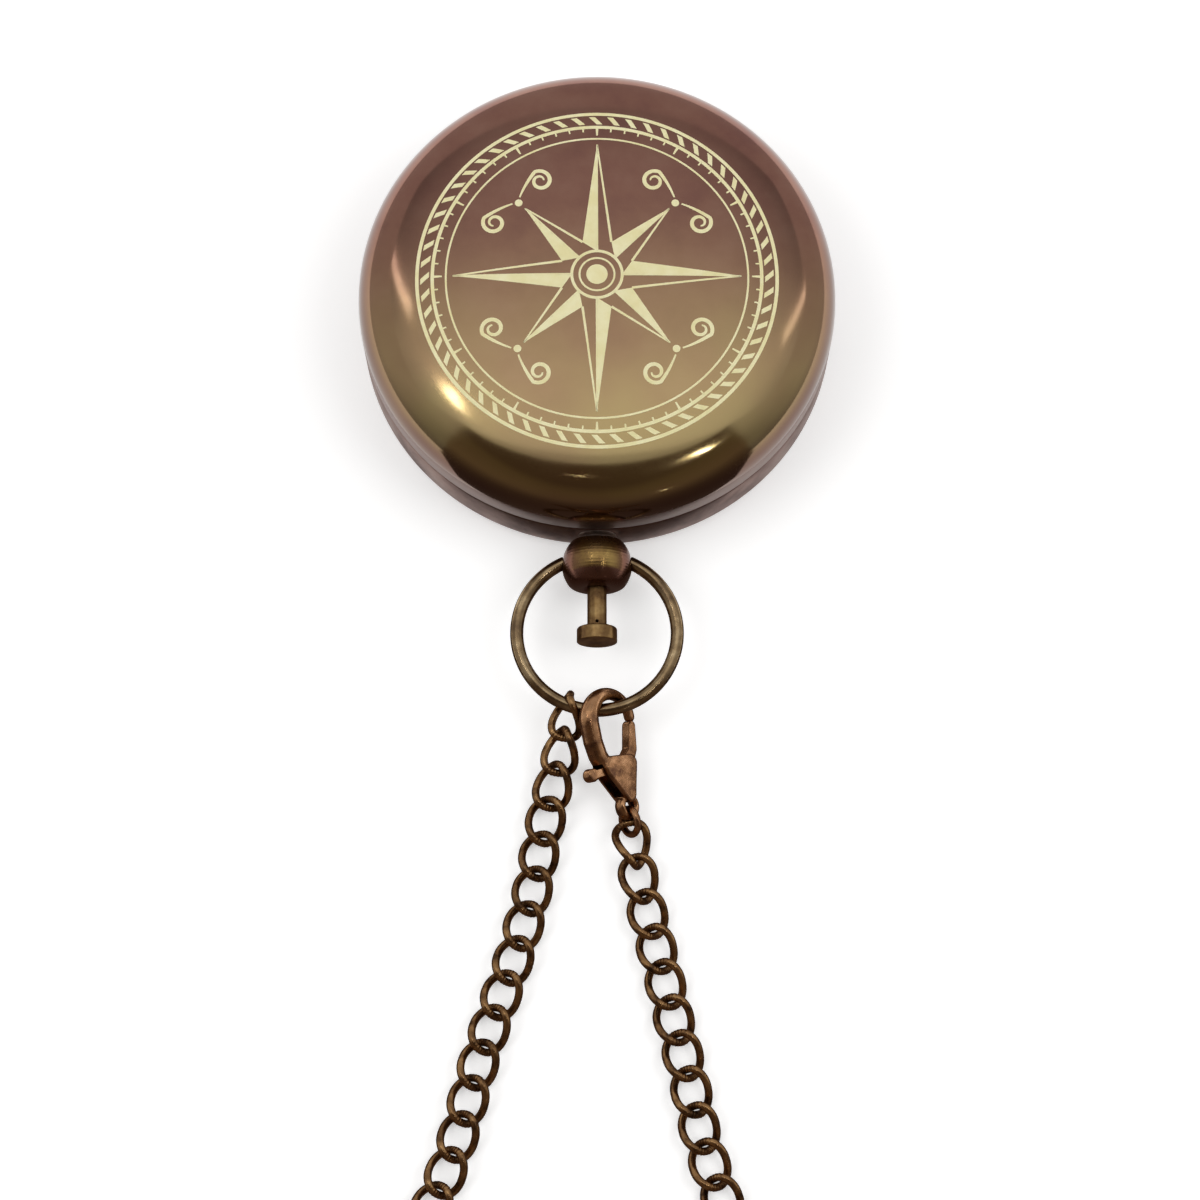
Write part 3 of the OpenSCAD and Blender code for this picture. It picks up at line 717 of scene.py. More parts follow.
@dataclass
class Case:
    """The cup, the domed lid with its etched rose, and the hinge between them."""

    radius: float = 25.0
    wall: float = 0.9
    edge: float = 2.4
    seam: float = 6.8
    seam_gap: float = 0.12
    lid_wall: float = 0.8
    band: float = 2.4
    shoulder: float = 4.6
    rise: float = 1.2
    corner: float = 0.2
    satin_z: float = 9.7
    stem_hole: float = 1.1
    # Room for the hinge at the back: from and to across, from and to upwards
    lid_notches: tuple[tuple[float, float, float, float], ...] = (
        (-1.4, 1.4, 5.8, 8.5), (-4.0, -1.4, 5.8, 7.9), (1.4, 4.0, 5.8, 7.9),
    )
    cup_notches: tuple[tuple[float, float, float, float], ...] = (
        (-1.5, 1.5, 5.7, 8.0), (-3.9, -1.5, 5.1, 8.0), (1.5, 3.9, 5.1, 8.0),
    )
    notch_depth: float = 2.0
    # How fast the dome's bend grows towards the rim, in radians of slope
    blend: float = 0.066

    def __post_init__(self) -> None:
        """Works out the dome as the part does."""
        self.band_z = self.seam + self.band
        high = self.shoulder + self.rise
        t = self.blend
        along, down = t / (1 + t * t), t * t / (1 + t * t)
        flat = (self.radius - high) / (along - down)
        tight = self.radius - flat * along
        steps = 600
        radius, drop = 0.0, 0.0
        self.dome = [(0.0, self.band_z + high, 0.0)]
        for i in range(steps):
            a, b = math.pi / 2 * i / steps, math.pi / 2 * (i + 1) / steps
            bend = tight + flat * math.exp(-(a + b) / 2 / t)
            radius += bend * (math.sin(b) - math.sin(a))
            drop += bend * (math.cos(a) - math.cos(b))
            self.dome.append((min(radius, self.radius), self.band_z + high - drop, b))

    def dome_height(self, x: float, y: float) -> float:
        """Gives the height of the lid's outer surface.

        Args:
            x: The place to the right.
            y: The place to the back.

        Returns:
            The height over that place.
        """
        r = math.hypot(x, y)
        for (r0, z0, _), (r1, z1, _) in zip(self.dome, self.dome[1:]):
            if r <= r1:
                return z0 + (z1 - z0) * (r - r0) / (r1 - r0)
        return self.band_z

    def lid_profile(self) -> Outline:
        """Gives the section of the lid.

        Returns:
            Radius and height of each point, from its foot over the top and back inside.
        """
        foot = self.seam + self.seam_gap
        inner = self.radius - self.lid_wall
        spots = self.dome[:60:4] + self.dome[60::9] + self.dome[-1:]
        outside = [(r, z) for r, z, _ in reversed(spots)]
        outside[-1] = (0.0, outside[-1][1])
        inside = [(r - self.lid_wall * math.sin(a), z - self.lid_wall * math.cos(a)) for r, z, a in spots]
        inside[-1] = (inner, self.band_z)
        edge = self.corner
        rim = [(inner, foot), (self.radius - edge, foot), (self.radius - edge * 0.3, foot + edge * 0.3),
               (self.radius, foot + edge)]
        return rim + outside + inside

    def cup_profile(self) -> Outline:
        """Gives the section of the cup.

        Returns:
            Radius and height of each point, from the middle of its floor up and back inside.
        """
        c = (self.radius - self.edge, self.edge)
        edge = self.corner
        inner = self.radius - self.wall
        out = [(0.0, 0.0), (12.0, 0.0)] + arc(c, self.edge, -90, 0, 28)
        out += [(self.radius, self.seam - edge), (self.radius - edge * 0.3, self.seam - edge * 0.3),
                (self.radius - edge, self.seam), (inner, self.seam)]
        out += arc(c, self.edge - self.wall, 0, -90, 16) + [(0.0, self.wall)]
        return out

    def hinge_room(self, notches: tuple[tuple[float, float, float, float], ...]) -> list[bpy.types.Object]:
        """Makes the cutters that leave room for the hinge.

        Args:
            notches: From and to across, and from and to upwards, of each notch.

        Returns:
            The cutters.
        """
        near, far = self.radius - self.notch_depth, self.radius + 1.0
        return [block(f"cut_hinge_{i}", (left, near, low), (right, far, high))
                for i, (left, right, low, high) in enumerate(notches)]

    def build(self) -> None:
        """Builds the cup, the lid and the etching, and dresses the hinge."""
        lid = Mesher()
        lid.revolve(self.lid_profile(), about_z, 256)
        shell = lid.object("lid_shell_spun", 30)
        cut_away(shell, self.hinge_room(self.lid_notches))
        bronze = self.lid_material()
        finish_piece(shell, bronze, "lid", "case", "lid_shell")
        cup = Mesher()
        cup.revolve(self.cup_profile(), about_z, 256, closed=False)
        body = cup.object("case_cup_spun", 30)
        bore = rod("cut_stem", Vector((0, -self.radius - 1, PENDANT_Z)),
                   Vector((0, -self.radius + 2, PENDANT_Z)), self.stem_hole)
        cut_away(body, [bore] + self.hinge_room(self.cup_notches))
        side = SIDE_BRONZE.material()
        finish_piece(body, side, "case", "case", "case_cup")
        self.etching()
        for name in ("case_knuckles", "lid_knuckle", "lid_catch"):
            dress_node(name, side)
        dress_node("hinge_pin", BEZEL_BRASS.material())

    def lid_material(self) -> bpy.types.Material:
        """Builds the lid's bronze, mauve towards the rim and olive gold towards the pendant, with painted
        shade darkening the outer rim.

        Returns:
            The material.
        """
        made = LID_BRONZE.material()
        tree = made.node_tree
        shader = next(n for n in tree.nodes if n.type == "BSDF_PRINCIPLED")
        patina = shader.inputs["Base Color"].links[0].from_socket
        place = add_node(tree, "ShaderNodeTexCoord", {}).outputs["Object"]
        warped = add_node(tree, "ShaderNodeTexNoise", {
            "Vector": place, "Scale": per_mm(16.0), "Detail": 3.0,
        })
        parts = add_node(tree, "ShaderNodeSeparateXYZ", {"Vector": place})
        # The colour turns olive gold towards the front half of the lid and stays mauve-brown towards the back
        down = add_node(tree, "ShaderNodeMapRange", {
            "Value": parts.outputs["Y"], "From Min": 0.012, "From Max": -0.018, "To Min": 0.0, "To Max": 1.7,
        }, interpolation_type="SMOOTHSTEP")
        uneven = add_node(tree, "ShaderNodeMath", {0: down.outputs["Result"], 1: warped.outputs["Fac"]},
                          operation="MULTIPLY", use_clamp=True)
        front_olive = add_node(tree, "ShaderNodeMix", {
            "Factor": uneven.outputs["Value"], "A": patina, "B": linear("#B09A6A"),
        }, data_type="RGBA")
        reach = add_node(tree, "ShaderNodeVectorMath", {0: place, 1: (1.0, 1.0, 0.0)}, operation="MULTIPLY")
        radius = add_node(tree, "ShaderNodeVectorMath", {0: reach.outputs["Vector"]}, operation="LENGTH")
        # Painted shade: the outer rim is darkened to dark brown in mottled patches, in place of a darker
        # reflection there; the mottle stands for patina
        rim = add_node(tree, "ShaderNodeMapRange", {
            "Value": radius.outputs["Value"], "From Min": 0.0232, "From Max": 0.0247,
            "To Min": 0.0, "To Max": 0.95,
        }, interpolation_type="SMOOTHSTEP")
        patchy = add_node(tree, "ShaderNodeMapRange", {
            "Value": warped.outputs["Fac"], "From Min": 0.35, "From Max": 0.6, "To Min": 0.75, "To Max": 1.0,
        })
        painted_rim_shade = add_node(tree, "ShaderNodeMath", {0: rim.outputs["Result"], 1: patchy.outputs["Result"]},
                           operation="MULTIPLY")
        edge = add_node(tree, "ShaderNodeMix", {
            "Factor": painted_rim_shade.outputs["Value"], "A": front_olive.outputs[2], "B": linear("#6B4E44"),
        }, data_type="RGBA")
        # The straight band under the dome was only brushed, like the side of the cup
        band = add_node(tree, "ShaderNodeMapRange", {
            "Value": parts.outputs["Z"], "From Min": (self.satin_z - 0.25) * MM,
            "From Max": (self.satin_z + 0.15) * MM, "To Min": 1.0, "To Max": 0.0,
        }, interpolation_type="SMOOTHSTEP")
        satin = add_node(tree, "ShaderNodeMix", {
            "Factor": band.outputs["Result"], "A": edge.outputs[2], "B": linear("#83695F"),
        }, data_type="RGBA")
        rough = shader.inputs["Roughness"].links[0].from_socket
        dull = add_node(tree, "ShaderNodeMix", {"Factor": band.outputs["Result"], "A": rough, "B": 0.42})
        lacquer = add_node(tree, "ShaderNodeMapRange", {
            "Value": band.outputs["Result"], "To Min": LID_BRONZE.lacquer, "To Max": 0.0,
        })
        tree.links.new(satin.outputs[2], shader.inputs["Base Color"])
        tree.links.new(dull.outputs["Result"], shader.inputs["Roughness"])
        tree.links.new(lacquer.outputs["Result"], shader.inputs["Coat Weight"])
        return made

    def etching(self) -> None:
        """Lays a plain compass rose in a rope ring on the lid, as pale etched lines."""
        work = Inlay(self.dome_height)
        for radius, width in ((18.6, 0.36), (17.0, 0.36), (15.6, 0.2), (2.6, 0.3)):
            work.circle(radius, width)
        for i in range(60):
            a = 6 * i
            work.ribbon([polar(17.35 + 0.9 * k / 6, a - 1.9 + 2.6 * k / 6) for k in range(7)],
                        [polar(17.35 + 0.9 * k / 6, a + 0.1 + 2.6 * k / 6) for k in range(7)])
        for i in range(72):
            deep = 1.0 if i % 6 == 0 else 0.55
            work.straight(polar(17.0, 5 * i), polar(17.0 - deep, 5 * i), 0.3 if i % 6 == 0 else 0.18, 0.16)
        for k in range(8):
            a = 45 * k
            main = k % 2 == 0
            tip = polar(14.9 if main else 10.6, a)
            hub = polar(2.6, a)
            work.blade(hub, polar(3.9, a + 22.5), tip)
            for foot in (polar(3.9, a - 22.5), hub):
                work.straight(foot, tip, 0.26, 0.16)
            if main:
                continue
            work.dot(polar(11.5, a), 0.4)
            for side in (-1, 1):
                self.curl(work, a, side)
        work.dot(Vector((0, 0, 0)), 1.1)
        work.circle(1.8, 0.2)
        piece = work.made.object("lid_etching", 40)
        finish_piece(piece, ETCHED_CREAM.material(), "lid", "case")

    @staticmethod
    def curl(work: Inlay, angle: float, side: int) -> None:
        """Lays a scroll beside a short point of the rose.

        Args:
            work: The inlay that takes it.
            angle: The point's direction in degrees.
            side: -1 or 1, for the side that it lies on.
        """
        line = [polar(11.9 + 1.5 * t, angle + side * (2.5 + 13.5 * t)) for t in (i / 24 for i in range(24))]
        end = polar(13.4, angle + side * 16)
        centre = end - polar(1.2, angle + 16 * side)
        for i in range(48):
            t = i / 47
            line.append(centre + polar(1.2 * (1 - 0.7 * t), angle + side * (16 + 470 * t)))
        count = len(line)
        work.stroke(line, [0.16 + 0.26 * math.sin(math.pi * i / (count - 1)) for i in range(count)])


@dataclass
class Pendant:
    """The neck, the turned ball, and the push button that slides through them."""

    neck_radius: float = 1.95
    flange_radius: float = 2.45
    neck_start: float = 24.1
    neck_end: float = 25.75
    ball_radius: float = 3.63
    ball_length: float = 7.2
    ball_centre: float = 28.2
    ball_end: float = 30.765
    ridge: float = 29.3
    round: float = 0.55
    bore: float = 1.05
    bow_axis: float = 27.9
    stem_radius: float = 1.0
    stem_start: float = 21.5
    head_start: float = 34.965
    head_end: float = 36.465
    head_radius: float = 2.08

    def ball_profile(self) -> Outline:
        """Gives the section of the ball.

        Returns:
            Radius and distance of each point, with faint tool rings and a rounded end.
        """
        last_y = self.ball_end - self.round
        first = math.degrees(math.asin(2 * (self.neck_end - self.ball_centre) / self.ball_length))
        last = math.degrees(math.asin(2 * (last_y - self.ball_centre) / self.ball_length))
        out = [(self.bore, self.neck_end)]
        for i in range(61):
            a = math.radians(first + (last - first) * i / 60)
            radius = self.ball_radius * math.cos(a)
            along = self.ball_centre + self.ball_length / 2 * math.sin(a)
            lathe = 0.006 * math.sin(along * 19) if along < self.ridge else 0.0
            out.append((radius + lathe, along))
        start = Vector((out[-1][0], last_y))
        corner = Vector((start.x - 0.65 * self.round, self.ball_end + 0.02))
        end = Vector((self.bore + 0.35, self.ball_end))
        for i in range(1, 13):
            t = i / 12
            p = (1 - t) ** 2 * start + 2 * t * (1 - t) * corner + t * t * end
            out.append((p.x, p.y))
        return out + [(self.bore, self.ball_end - 0.3)]

    def ball_material(self) -> bpy.types.Material:
        """Builds the ball's brass, with a painted reflection that turns it mauve-brown at its sides and past
        its ridge.

        Returns:
            The material.
        """
        made = BALL_BRASS.material()
        tree = made.node_tree
        shader = next(n for n in tree.nodes if n.type == "BSDF_PRINCIPLED")
        rubbed = shader.inputs["Base Color"].links[0].from_socket
        place = add_node(tree, "ShaderNodeTexCoord", {}).outputs["Object"]
        parts = add_node(tree, "ShaderNodeSeparateXYZ", {"Vector": place})
        # Painted reflection: the brass turns mauve-brown towards the sides and past the ridge
        aside = add_node(tree, "ShaderNodeMath", {0: parts.outputs["X"]}, operation="ABSOLUTE")
        sides = add_node(tree, "ShaderNodeMapRange", {
            "Value": aside.outputs["Value"], "From Min": 1.3 * MM, "From Max": 2.9 * MM,
        }, interpolation_type="SMOOTHSTEP")
        end = add_node(tree, "ShaderNodeMapRange", {
            "Value": parts.outputs["Y"], "From Min": -(self.ridge - 0.1) * MM,
            "From Max": -(self.ridge + 0.15) * MM,
        })
        both = add_node(tree, "ShaderNodeMath", {0: sides.outputs["Result"], 1: end.outputs["Result"]},
                        operation="MAXIMUM")
        tone = add_node(tree, "ShaderNodeMix", {
            "Factor": both.outputs["Value"], "A": rubbed, "B": linear("#775346"),
        }, data_type="RGBA")
        tree.links.new(tone.outputs[2], shader.inputs["Base Color"])
        return made

    def build(self) -> None:
        """Builds the neck, the ball, the stem and the head."""
        neck = Mesher()
        neck.revolve(eased([
            (self.bore, self.neck_start, 0), (self.neck_radius, self.neck_start, 0),
            (self.neck_radius, 25.1, 0.1), (2.1, 25.4, 0.2), (self.flange_radius, 25.58, 0.1),
            (self.flange_radius, self.neck_end + 0.1, 0.12), (self.bore, self.neck_end + 0.1, 0),
        ]), about_pendant, 96)
        collar = neck.object("pendant_collar")
        finish_piece(collar, NECK_BRASS.material(), "case", "turned", "pendant_neck")
        ball = Mesher()
        ball.revolve(self.ball_profile(), about_pendant, 160)
        turned = ball.object("pendant_ball_turned", 40)
        cut_away(turned, [
            rod(f"cut_{side}", Vector((side * 2.97, -self.bow_axis, PENDANT_Z)),
                Vector((side * 5.0, -self.bow_axis, PENDANT_Z)), 0.91)
            for side in (-1, 1)
        ])
        finish_piece(turned, self.ball_material(), "case", "turned", "pendant_ball")
        self.build_button()

    def build_button(self) -> None:
        """Builds the stem with its small cross hole, and the head."""
        brass = STEM_BRASS.material()
        stem = Mesher()
        stem.revolve(eased([
            (0, self.stem_start, 0), (self.stem_radius, self.stem_start, 0.15),
            (self.stem_radius, self.head_start + 1.0, 0), (0, self.head_start + 1.0, 0),
        ]), about_pendant, 64)
        bar = stem.object("push_stem_turned")
        hole_y = -(self.head_start - 0.5)
        cut_away(bar, [rod("cut_h", Vector((0, hole_y, PENDANT_Z)), Vector((0, hole_y, 9)), 0.17, 20)])
        finish_piece(bar, brass, "button", "turned", "push_stem")
        head = Mesher()
        head.revolve(eased([
            (self.stem_radius + 0.03, self.head_start, 0), (self.head_radius, self.head_start, 0.3),
            (self.head_radius, self.head_end, 0.07), (0, self.head_end, 0),
            (0, self.head_end - 0.5, 0), (self.stem_radius + 0.03, self.head_end - 0.5, 0),
        ]), about_pendant, 96)
        finish_piece(head.object("push_button_head"), brass, "button", "turned", "push_button")


@dataclass
class Bow:
    """The wire ring whose ends turn in the ball."""

    radius: float = 8.25
    wire: float = 0.68
    end_x: float = 3.35
    pin: float = 0.5
    pin_length: float = 1.9
    axis: float = 27.9

    def build(self) -> None:
        """Builds the wire and its two pins."""
        centre = self.axis + math.sqrt(self.radius**2 - self.end_x**2)
        start = math.degrees(math.asin(self.end_x / self.radius))
        steps = 160
        line = []
        for i in range(steps + 1):
            a = math.radians(90 + start + (360 - 2 * start) * i / steps)
            line.append(Vector((self.radius * math.cos(a), -centre + self.radius * math.sin(a), PENDANT_Z)))
        wire = Mesher()
        wire.tube(line, [self.wire] * len(line), 32, False, up=Vector((0, 0, 1)))
        for side in (-1, 1):
            wire.tube([Vector((side * (self.end_x - self.pin_length), -self.axis, PENDANT_Z)),
                       Vector((side * (self.end_x + 0.1), -self.axis, PENDANT_Z))],
                      [self.pin] * 2, 24, False)
        finish_piece(wire.object("bow_wire", 50), BOW_BRASS.material(), "bow", "bow", "bow")


class Run(Enum):
    """The stretches of the chain."""

    LEFT = "chain_left"
    FOLD = "chain_fold"
    RIGHT = "chain_right"


@dataclass
class Chain:
    """The curb chain, from the bow round its fold and back to the clasp's ring."""

    wire: float = 0.4
    length: float = 4.55
    width: float = 3.4
    twist: float = 45.0
    pitch: float = 3.65
    fullness: float = 0.75
    start_gap: float = 2.275 - 0.4 - 0.68 - 0.1
    end_gap: float = 2.275 - 0.4 - 0.36 - 0.05
    knee: float = -94.6
    roll_step: float = 15.0
    end_roll: float = 30.0
    diameter: float = 4.2
    wobble: float = 1.5
    route: tuple[Point, ...] = (
        (-0.0029, -0.0432, 0.0047), (-0.0034, -0.0465, 0.0034), (-0.0043, -0.0502, 0.0018),
        (-0.0052, -0.0540, 0.00115), (-0.0059, -0.0580, 0.00115), (-0.0066, -0.0620, 0.00115),
        (-0.0076, -0.0660, 0.00115), (-0.0088, -0.0700, 0.00115), (-0.0102, -0.0740, 0.00115),
        (-0.0115, -0.0780, 0.00115), (-0.0126, -0.0820, 0.00115), (-0.0136, -0.0860, 0.00115),
        (-0.0149, -0.0900, 0.00115), (-0.0166, -0.0940, 0.00115), (-0.0196, -0.0990, 0.00115),
        (-0.0234, -0.1045, 0.00115), (-0.0264, -0.1100, 0.00115), (-0.0279, -0.1160, 0.00115),
        (-0.0279, -0.1299, 0.00115), (-0.0225, -0.1353, 0.00115), (-0.0147, -0.1353, 0.00115),
        (-0.0093, -0.1299, 0.00115), (-0.0093, -0.1160, 0.00115), (-0.0093, -0.1025, 0.00115),
        (-0.0039, -0.0971, 0.00115), (0.0039, -0.0971, 0.00115), (0.0093, -0.1025, 0.00115),
        (0.0093, -0.1160, 0.00115), (0.0093, -0.1299, 0.00115), (0.0147, -0.1353, 0.00115),
        (0.0225, -0.1353, 0.00115), (0.0279, -0.1299, 0.00115), (0.0279, -0.1160, 0.00115),
        (0.0260, -0.1095, 0.00115), (0.0220, -0.1040, 0.00115), (0.0170, -0.0990, 0.00115),
        (0.0131, -0.0945, 0.00115), (0.0114, -0.0900, 0.00115), (0.0102, -0.0860, 0.00115),
        (0.0094, -0.0820, 0.00115), (0.0085, -0.0780, 0.00115), (0.0075, -0.0740, 0.00115),
        (0.0066, -0.0700, 0.00115), (0.0056, -0.0660, 0.00115), (0.0046, -0.0620, 0.0013),
        (0.0038, -0.0585, 0.0018), (0.0034, -0.0555, 0.0015),
    )

    def __post_init__(self) -> None:
        """Smooths the route and finds where each link lies."""
        line = [Vector(p) / MM for p in self.route]
        for _ in range(2):
            cut = [line[0]]
            for a, b in zip(line, line[1:]):
                cut += [a.lerp(b, 0.25), a.lerp(b, 0.75)]
            line = cut + [line[-1]]
        self.line = line
        self.run = [0.0]
        for a, b in zip(line, line[1:]):
            self.run.append(self.run[-1] + (b - a).length)
        clear = self.run[-1] - self.start_gap - self.end_gap
        self.count = 1 + round(clear / self.pitch)
        self.step = clear / (self.count - 1)
        self.rings = self.link_rings()
        self.random = random.Random(7)

    def at(self, s: float) -> Vector:
        """Finds a point of the route.

        Args:
            s: The distance along it.

        Returns:
            The point.
        """
        s = min(max(s, 0.0), self.run[-1])
        j = max(k for k in range(len(self.run) - 1) if self.run[k] <= s)
        return self.line[j].lerp(self.line[j + 1], (s - self.run[j]) / (self.run[j + 1] - self.run[j]))

    def link_rings(self) -> list[tuple[Vector, float]]:
        """Gives the middle line of one link and the wire's radius along it, with the bender's nicks.

        Returns:
            Points and radii, close together at the two ends, where the nicks are.
        """
        fine = []
        for i in range(4000):
            t = 2 * math.pi * i / 4000
            c, s = math.cos(t), math.sin(t)
            x = self.length / 2 * math.copysign(abs(c) ** self.fullness, c)
            y = self.width / 2 * math.copysign(abs(s) ** self.fullness, s)
            a = -math.radians(self.twist) * x / (self.length / 2)
            fine.append(Vector((x, y * math.cos(a), y * math.sin(a))))
        out = []
        gone = 1.0
        last = fine[-1]
        for p in fine:
            gone += (p - last).length
            last = p
            end = abs(p.x) - 0.80 * self.length / 2
            if gone < (0.05 if end > 0 else 0.32):
                continue
            gone = 0.0
            nick = max(0.0, min(1.0, 6 * end)) * (0.5 + 0.5 * math.cos(2 * math.pi * p.y / 0.24))
            out.append((p, self.wire * (1 + 0.012 - 0.1 * nick**2)))
        return out

    def place(self, i: int) -> Matrix:
        """Places a link on the route.

        Args:
            i: The link's number.

        Returns:
            Its placing, with its roll about the route and a slight wobble.
        """
        s = self.start_gap + i * self.step
        d = self.at(s + self.step / 2) - self.at(s - self.step / 2)
        turn = Matrix.Rotation(math.atan2(d.y, d.x), 4, "Z")
        tilt = Matrix.Rotation(-math.atan2(d.z, math.hypot(d.x, d.y)), 4, "Y")
        from_start = self.twist - self.roll_step * i
        from_end = self.end_roll - self.roll_step * (self.count - 1 - i)
        rolled = max(0.0, from_start, from_end)
        roll = Matrix.Rotation(math.radians(rolled), 4, "X")
        wobble = Matrix.Rotation(math.radians(self.random.uniform(-self.wobble, self.wobble)), 4, "X")
        return Matrix.Translation(self.at(s)) @ turn @ tilt @ roll @ wobble

    def run_of(self, i: int) -> Run:
        """Tells which stretch a link belongs to.

        Args:
            i: The link's number.

        Returns:
            The stretch.
        """
        if self.at(self.start_gap + i * self.step).y <= self.knee:
            return Run.FOLD
        return Run.LEFT if i < self.count / 2 else Run.RIGHT

    def build(self) -> None:
        """Builds the three stretches and ties each to its body."""
        wire = CHAIN_BRASS.material()
        links: dict[Run, list[int]] = {run: [] for run in Run}
        for i in range(self.count):
            links[self.run_of(i)].append(i)
        for run, body in ((Run.LEFT, "strands"), (Run.FOLD, "fold"), (Run.RIGHT, "strands")):
            made = Mesher()
            for i in links[run]:
                spot = self.place(i)
                made.tube([spot @ p for p, _ in self.rings], [r for _, r in self.rings], 14, True)
            piece = made.object(f"{run.value}_links", 60)
            finish_piece(piece, wire, body, "chain", run.value)


@dataclass
class Clasp:
    """The lobster clasp: its body, the gate with its thumb piece, and the joining ring."""

    place_at: Point = (1.3, -43.5862, 4.7)
    plan_turn: float = 10.5
    droop: float = 15.2
    roll: float = 45.0
    half_width: float = 3.05
    rise: float = 2.7
    arm: float = 1.0
    tip: float = 0.56
    middle: tuple[float, float] = (-0.35, -1.0895)
    thickness: float = 2.2
    slot_width: float = 1.4
    gate_thickness: float = 1.2
    pivot: tuple[float, float] = (0.75, -5.75)
    eye_y: float = -10.05
    ring_radius: float = 1.32
    ring_wire: float = 0.36
    ring_y: float = -11.61
    ring_turn: float = -12.0
    # The middle line of the left arm below the claw
    arm_line: Outline = field(default_factory=lambda: [(-3.35, -2.9), (-3.0, -4.4), (-2.3, -5.7)])
    # The outline of the slot, which is open on the left for the thumb piece
    slot: Outline = field(default_factory=lambda: [
        (-5.4, -5.35), (-0.9, -5.15), (-0.3, -4.9), (0.2, -4.0), (3.4, -4.0), (3.4, -6.9),
        (1.1, -7.1), (-1.2, -9.2), (-5.4, -9.2),
    ])

    def frame(self) -> Matrix:
        """Places the clasp.

        Returns:
            The placing of its own frame, where its plan lies in X and Y.
        """
        return (Matrix.Translation(self.place_at)
                @ Matrix.Rotation(math.radians(self.plan_turn), 4, "Z")
                @ Matrix.Rotation(math.radians(self.droop), 4, "X")
                @ Matrix.Rotation(math.radians(self.roll), 4, "Y"))

    def melted(self, name: str, voxel: float, rounds: int) -> "Melter":
        """Starts a shape whose pieces are melted into one casting."""
        return Melter(name, voxel, rounds, self.frame())

    def build(self) -> None:
        """Builds the body, the gate and the ring."""
        copper = CLASP_COPPER.material()
        self.build_body(copper)
        self.build_gate(copper)
        ring = Mesher()
        turn = math.radians(self.ring_turn)
        line = []
        for i in range(97):
            a = math.radians(-96 + 346 * i / 96)
            along = self.ring_radius * math.sin(a)
            line.append(Vector((along * math.sin(turn), self.ring_y + self.ring_radius * math.cos(a),
                                along * math.cos(turn))))
        ease = [self.ring_wire * math.sqrt(max(0.05, 1 - max(0.0, 1 - min(i, 96 - i) / 3) ** 2))
                for i in range(97)]
        ring.tube(line, ease, 20, False)
        made = ring.object("clasp_ring_wire", 50, self.frame())
        finish_piece(made, copper, "strands", "clasp", "clasp_ring")
        dress_node("clasp_rivet", copper)
        dress_node("clasp_spring", SPRING_STEEL.material())

    def build_body(self, copper: bpy.types.Material) -> None:
        """Builds the claw, the body and the tail eye as one casting with a slot for the gate.

        Args:
            copper: Its finish.
        """
        cast = self.melted("clasp_body_cast", 0.06, 6)
        line, radii = [], []
        for i in range(33):
            a = -2 + 182 * i / 32
            line.append(Vector((self.middle[0] + self.half_width * math.cos(math.radians(a)),
                                self.middle[1] + self.rise * math.sin(math.radians(a)), 0)))
            radii.append(self.tip + (self.arm - self.tip) * math.sin(math.radians(a / 2)) ** 4)
        for x, y in self.arm_line:
            line.append(Vector((x, y, 0)))
            radii.append(self.arm)
        cast.solid.tube(line, radii, 28, False, up=Vector((0, 0, 1)))
        cast.ball(line[0], self.tip * 0.98)
        cast.slab([(-2.0, -5.7, 1.1), (0.7, -5.7, 0.95), (-0.05, -8.95, 0.7)], self.thickness)
        cast.barrel((0.0, self.eye_y), 1.03, 0.38, 0.66)
        body = cast.object()
        slot = Mesher()
        half = self.slot_width / 2
        rows = [[Vector((x, y, z)) for x, y in self.slot] for z in (-half, half)]
        slot.grid(rows, False, True)
        slot.cap(rows[0])
        slot.cap(rows[1])
        cut_away(body, [slot.object("cut_s", 30, self.frame())])
        finish_piece(body, copper, "strands", "clasp", "clasp_body")

    def build_gate(self, copper: bpy.types.Material) -> None:
        """Builds the gate with its hub and thumb piece.

        Args:
            copper: Its finish.
        """
        gate = self.melted("clasp_gate_cast", 0.05, 4)
        t = self.gate_thickness
        # Each spot is its place across, its place along and its radius
        gate.slab([(2.4, -1.95, 0.45), (1.85, -4.5, 0.58)], t)
        gate.slab([(1.85, -4.5, 0.58), (self.pivot[0], self.pivot[1], 0.85)], t)
        gate.slab([(self.pivot[0], self.pivot[1], 0.45), (-4.6, -6.2, 0.45)], t)
        gate.slab([(-4.6, -6.2, 0.7), (-4.4, -6.17, 0.66)], t)
        finish_piece(gate.object(), copper, "lever", "clasp", "clasp_lever")


